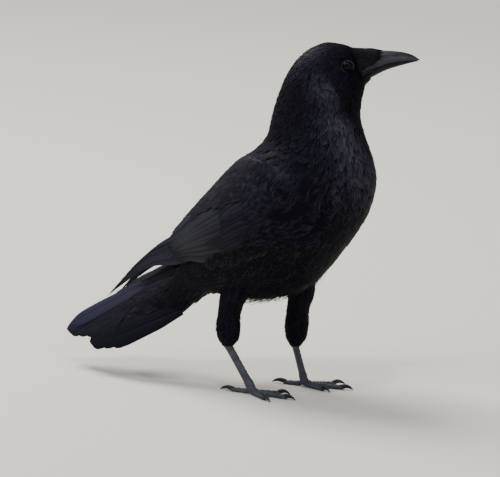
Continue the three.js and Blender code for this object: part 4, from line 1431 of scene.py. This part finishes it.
# %% [markdown]
# The eye is a ball that bulges where its cornea is, with a dark brown iris round a wide pupil. A
# narrow beaded lid closes round it, and the smallest feathers of the face begin at the lid.

# %% Eyes and lids
CORNEA, CORNEA_ANGLE = 0.45, math.radians(36)
EYE_RINGS, EYE_AROUND = 40, 48
POLE = 0.004                     # the first and last ring's angle from the eye's axis
EYE_INSET = 0.05                 # the ball lies this far inside the solid eye
BEADS, BEAD_POINTS, LID_AROUND = 28, 4, 12


def eye_body(middle, side):
    """Rings of an eyeball round its axis, raised where the cornea is, with each point's angle."""
    angle = np.linspace(POLE, math.pi - POLE, EYE_RINGS)[:, None]
    bulge = CORNEA * np.clip(1 - (angle / CORNEA_ANGLE) ** 2, 0, 1)
    turn = turns(EYE_AROUND)[None]
    forward = unit(np.cross(side, UP))
    radius = EYE["radius"] + bulge - EYE_INSET
    rings = (middle + side * (radius * np.cos(angle))[..., None]
             + (forward * np.cos(turn)[..., None] + UP * np.sin(turn)[..., None])
             * (radius * np.sin(angle))[..., None])
    marks = np.append(np.broadcast_to(angle, rings.shape[:2]).ravel(), [0, math.pi])
    return capped(rings), marks


def lid_body(middle, side):
    """A beaded ring round the eye, a little longer fore and aft than it is high."""
    turn = turns(BEADS * BEAD_POINTS)
    forward = unit(np.cross(side, UP))
    radial = forward * np.cos(turn)[:, None] + UP * np.sin(turn)[:, None]
    reach = LID_RADIUS * (1 + 0.05 * np.cos(2 * turn))
    centre = middle + radial * reach[:, None] + side * (LID_OUT + 0.1 * np.cos(2 * turn))[:, None]
    bead = 0.46 * (1 + 0.14 * np.cos(BEADS * turn))[:, None]
    rings = rings_on(centre, radial, side[None], 1.4 * bead, bead, LID_AROUND)
    k = numbered(rings)
    points, quads = rings.reshape(-1, 3), ring_sides(np.vstack([k, k[:1]]))
    return points, quads[:, ::facing(points, quads)].tolist()


def eye_material():
    """The angle from the eye's axis, in radians, tells the pupil from the iris and the iris from
    its dark rim."""
    made, tree, shader = new_material("eye", 0.03, (1, 1, 1), 0.09)
    mark = node(tree, "ShaderNodeAttribute", attribute_name="mark").outputs["Fac"]
    place = node(tree, "ShaderNodeTexCoord").outputs["Object"]
    speck = noise(tree, place, 1400.0, 4.0)
    iris = ramp(tree, speck, 0.3, 0.7, (0.002, 0.001, 0.0007), (0.006, 0.003, 0.0017))
    in_iris = ramp(tree, mark, 0.42, 0.46, (0, 0, 0), (1, 1, 1))
    outside = ramp(tree, mark, 0.84, 0.92, (0, 0, 0), (1, 1, 1))
    first = node(tree, "ShaderNodeMix", {"Factor": in_iris, 6: (0.0015, 0.0015, 0.002, 1), 7: iris},
                 data_type="RGBA")
    second = node(tree, "ShaderNodeMix", {"Factor": outside, 6: first.outputs[2],
                                          7: (0.004, 0.003, 0.003, 1)}, data_type="RGBA")
    finish_look(tree, shader, second.outputs[2])
    return made


def skin_material(name, dark, pale, roughness, cell):
    """Scaly or beaded bare skin: small cells, paler on their tops than in the grooves between them,
    where the darkening is painted shade.
    """
    made, tree, shader = new_material(name, roughness, (1, 1, 1), 0.35)
    place = node(tree, "ShaderNodeTexCoord").outputs["Object"]
    cells = node(tree, "ShaderNodeTexVoronoi", {"Vector": place, "Scale": cell},
                 feature="DISTANCE_TO_EDGE")
    cloud = noise(tree, place, 110.0, 5.0)
    # darker towards the cells' edges: painted shade in the grooves between plates
    edge = maths(tree, "MINIMUM", maths(tree, "MULTIPLY", cells.outputs[0], 6.0), 1.0)
    mix = maths(tree, "MULTIPLY_ADD", edge, 0.35, maths(tree, "MULTIPLY", cloud, 0.75))
    rough = maths(tree, "MULTIPLY_ADD", mix, -0.15, roughness + 0.1)
    finish_look(tree, shader, ramp(tree, mix, 0.3, 0.85, dark, pale), rough, edge)
    return made


EYE_LOOK = eye_material()
LID_LOOK = skin_material("eyelid", (0.002, 0.002, 0.0024), (0.012, 0.0115, 0.014), 0.6, 2600)
for name, sign in (("left", 1), ("right", -1)):
    eyeball, marks = eye_body(EYES[name], sign * eye_side)
    solid_piece("eyeball_" + name, [eyeball], EYE_LOOK, "eye", "eye_" + name, marks=marks)
    solid_piece("lid_" + name, [lid_body(EYES[name], sign * eye_side)], LID_LOOK, "leg_skin")

# %% [markdown]
# At the corner of the mouth the soft skin of the gape runs a little way back in folds.

# %% Gape
# x, distance from the midline, z and radius along a fold, from the bill back
FOLD = np.array([[94, 8.2, 291.2, 0.2], [89, 8.9, 289.4, 0.5], [85.5, 9.6, 287.6, 0.7],
                 [82.5, 11, 285.4, 0.65], [80.5, 12.6, 283.2, 0.25]])
FOLD_RINGS, FOLD_AROUND = 30, 12
folds = []
for drop in (0, 1.5):            # a second, finer fold lies lower
    rows = through(FOLD, np.linspace(0, len(FOLD) - 1, FOLD_RINGS)) - np.multiply(
        drop, [0, 0.2, 1, 0.1])
    radius = rows[:, 3:4]
    for sign in (1, -1):
        path = head_turned(rows[:, :3] * [1, sign, 1])
        folds.append(capped(rings_on(path, *frame_along(path), radius, radius, FOLD_AROUND)))
solid_piece("gape_folds", folds, LID_LOOK, "leg_skin")

# %% [markdown]
# The shank has large overlapping plates down its front and one smooth ridge behind. The toes have
# short plates above and soft pads below. The plates are a saw-tooth on the radius that rises
# slowly and drops at each edge, as overlapping plates do.

# %% The drawing of the legs and feet
# radius of the shank and of its upper joint, its width as a share of its depth, the number of its
# plates, and how far each stands out
SHANK = dict(radius=3.3, joint=4.4, squash=0.82, plates=10, step=0.45)
LEGS = {
    "right": dict(ankle=(-32.5, -27, 46), foot=(-6.5, -28, 7), heading=-4, outward=-1),
    "left": dict(ankle=(5, 28, 45), foot=(20.8, 20, 7), heading=4, outward=1),
}
# heading away from the foot's own, length, number of pads, radius, length of the claw
TOES = {"middle": (2, 37, 3, 2.7, 11), "inner": (-25, 26, 2, 2.5, 10),
        "outer": (31, 28, 4, 2.5, 10), "hind": (178, 19, 1, 2.6, 13)}
# ahead of the foot's middle, up from it, half width, half height
KNUCKLE = np.array([[-3.5, -2, 2.6, 2.6], [0, -2.2, 4.1, 4], [4.5, -3.4, 4, 3.2]])
# share of the claw's length, height over the floor, half width, half height
CLAW = np.array([[-0.1, 2.7, 1.3, 1.5], [0.2, 3.1, 1.6, 2], [0.45, 3.4, 1.3, 1.7],
                 [0.75, 2.5, 0.9, 1.1], [1, 0.75, 0.3, 0.35]])
SOLE = 0.15                      # how much of a pad's round underside the floor flattens
TOE_STEP = 0.22                  # how far a toe's plates stand out
TOE_PLATE = 2.3                  # from plate to plate
PEBBLE = 1.4                     # from row to row of the pebbles under a toe
SHANK_RINGS, SHANK_AROUND, TOE_AROUND, KNUCKLE_AROUND, CLAW_AROUND = 122, 32, 28, 28, 18
LEG_LOOK = skin_material("leg_skin", (0.009, 0.0095, 0.013), (0.062, 0.066, 0.087), 0.5, 1500)


# %% Legs and feet


def plates(position, share):
    """The saw-tooth of overlapping plates, worked out from a position counted in plates, where
    share says how much of the way round is plated."""
    tooth = position - np.floor(position)
    return share * (tooth ** 0.7 - 0.85 * np.clip((tooth - 0.9) * 10, 0, 1))


def shank_body(leg):
    """One shank from inside the feathers down to the foot."""
    ankle, foot = np.array(leg["ankle"], float), np.array(leg["foot"], float)
    f = np.linspace(-0.06, 1.04, SHANK_RINGS)
    path = ankle + (foot - ankle) * f[:, None]
    radius, joint = SHANK["radius"], SHANK["joint"]
    full = np.interp(f, [-0.06, 0, 0.06, 0.18, 0.5, 0.85, 0.97, 1.04],
                     [0.65 * joint, 0.85 * joint, joint, 1.05 * radius, radius, 1.05 * radius,
                      1.3 * radius, radius])
    full = np.convolve(np.pad(full, 3, "edge"), np.ones(7) / 7, "valid")[:, None]
    a = turns(SHANK_AROUND)
    across, upward = frame_along(path)
    front = np.clip(1.6 * np.sin(a) * np.sign(upward[0, 0]) + 0.35, 0, 1)
    back = np.clip(-np.sin(a) * np.sign(upward[0, 0]), 0, 1) ** 12
    bump = SHANK["step"] * plates(f[:, None] * SHANK["plates"] + 0.5, front) + 0.5 * back
    return capped(rings_on(path, across, upward, full * SHANK["squash"] + bump * 0.8, full + bump,
                           SHANK_AROUND))


def toe_path(side, toe, distance):
    """Points along a toe, seen from above, at distances from the foot's middle."""
    leg = LEGS[side]
    heading = np.radians(leg["heading"] + leg["outward"] * toe[0])
    foot = np.array(leg["foot"], float)
    flat = foot[None] * [1, 1, 0]
    return flat + np.asarray(distance)[:, None] * [np.cos(heading), np.sin(heading), 0]


def toe_body(side, toe):
    """One toe: thick at its pads, thin between them, flat on the floor."""
    _, length, pads, radius, _ = toe
    f = np.linspace(0, 1.03, 30 * (pads + 1))
    full = radius * (1 - 0.22 * f)
    tall = full * (0.82 + 0.18 * np.cos(2 * np.pi * f * (pads + 0.5)) ** 2)
    tall = tall * np.sqrt(np.clip((1.05 - f) / 0.08, 0.05, 1))
    path = toe_path(side, toe, length * f)
    path[:, 2] = full * math.sqrt(0.75) - SOLE + 3.2 * np.clip(1 - 5 * f, 0, 1)
    a = turns(TOE_AROUND)
    top = np.clip(1.8 * np.sin(a) + 0.1, 0, 1)
    below = np.clip(-np.sin(a), 0, 1)
    pebbles = 0.12 * np.cos(9 * a) * np.cos(2 * np.pi * f * length / PEBBLE)[:, None] * below
    bump = TOE_STEP * plates(-f[:, None] * length / TOE_PLATE, top) + pebbles
    return on_floor(rings_on(path, *frame_along(path), tall[:, None] * 1.05 + bump,
                             tall[:, None] + bump, TOE_AROUND))


def knuckle_body(side):
    """The knob that the toes spring from."""
    t = np.linspace(0, 2, 24)
    ahead, up, wide, tall = through(KNUCKLE, t).T
    ends = np.sqrt(np.clip(1.02 - (t - 1) ** 4, 0.02, 1))
    path = np.array(LEGS[side]["foot"], float) + np.stack([ahead, 0 * ahead, up], 1)
    return on_floor(rings_on(path, *frame_along(path), (wide * ends)[:, None],
                             (tall * ends)[:, None], KNUCKLE_AROUND))


def claw_body(side, toe):
    """One claw, curved down to a blunt point."""
    rows = through(CLAW, np.linspace(0, len(CLAW) - 1, 28))
    path = toe_path(side, toe, toe[1] - 1.2 + toe[4] * rows[:, 0])
    path[:, 2] = rows[:, 1]
    return on_floor(rings_on(path, *frame_along(path), rows[:, 2:3], rows[:, 3:4], CLAW_AROUND))


for side, leg in LEGS.items():
    solid_piece("shank_skin_" + side, [shank_body(leg)], LEG_LOOK, "leg_skin", "shank_" + side)
    feet = [knuckle_body(side), *(toe_body(side, toe) for toe in TOES.values())]
    solid_piece("foot_skin_" + side, feet, LEG_LOOK, "leg_skin", "foot_" + side)
    claws = [claw_body(side, toe) for toe in TOES.values()]
    solid_piece("claw_horn_" + side, claws, CLAW_LOOK, "claw",
                *(f"claw_{side}_{name}" for name in TOES))

# %% [markdown]
# Loose wisps end the belly's plumage between and before the legs. They are narrow vanes that
# hang free of the coat and point down and back.

# %% Wisps of the belly
WISP = Vane([(0, 0.7), (0.3, 1), (0.7, 0.6), (1, 0.1)], 6, (-1, 0, 1))
u, v, lie, side = strewn(body, (12.4, 14.3), (0.38, 0.62), 4.0, 0.35)
n = len(u)
wisps = lay(body, WISP, u, v, chance.uniform(12, 20, n), 1.5, lie, side, sink=1.5,
            rise=chance.uniform(1, 4, n), camber=0.1, thick=0.2, bend=chance.uniform(-1, 1, n),
            tone=chance.uniform(0, 0.2, n))
add_piece("belly_wisps", wisps, BODY_LOOK)
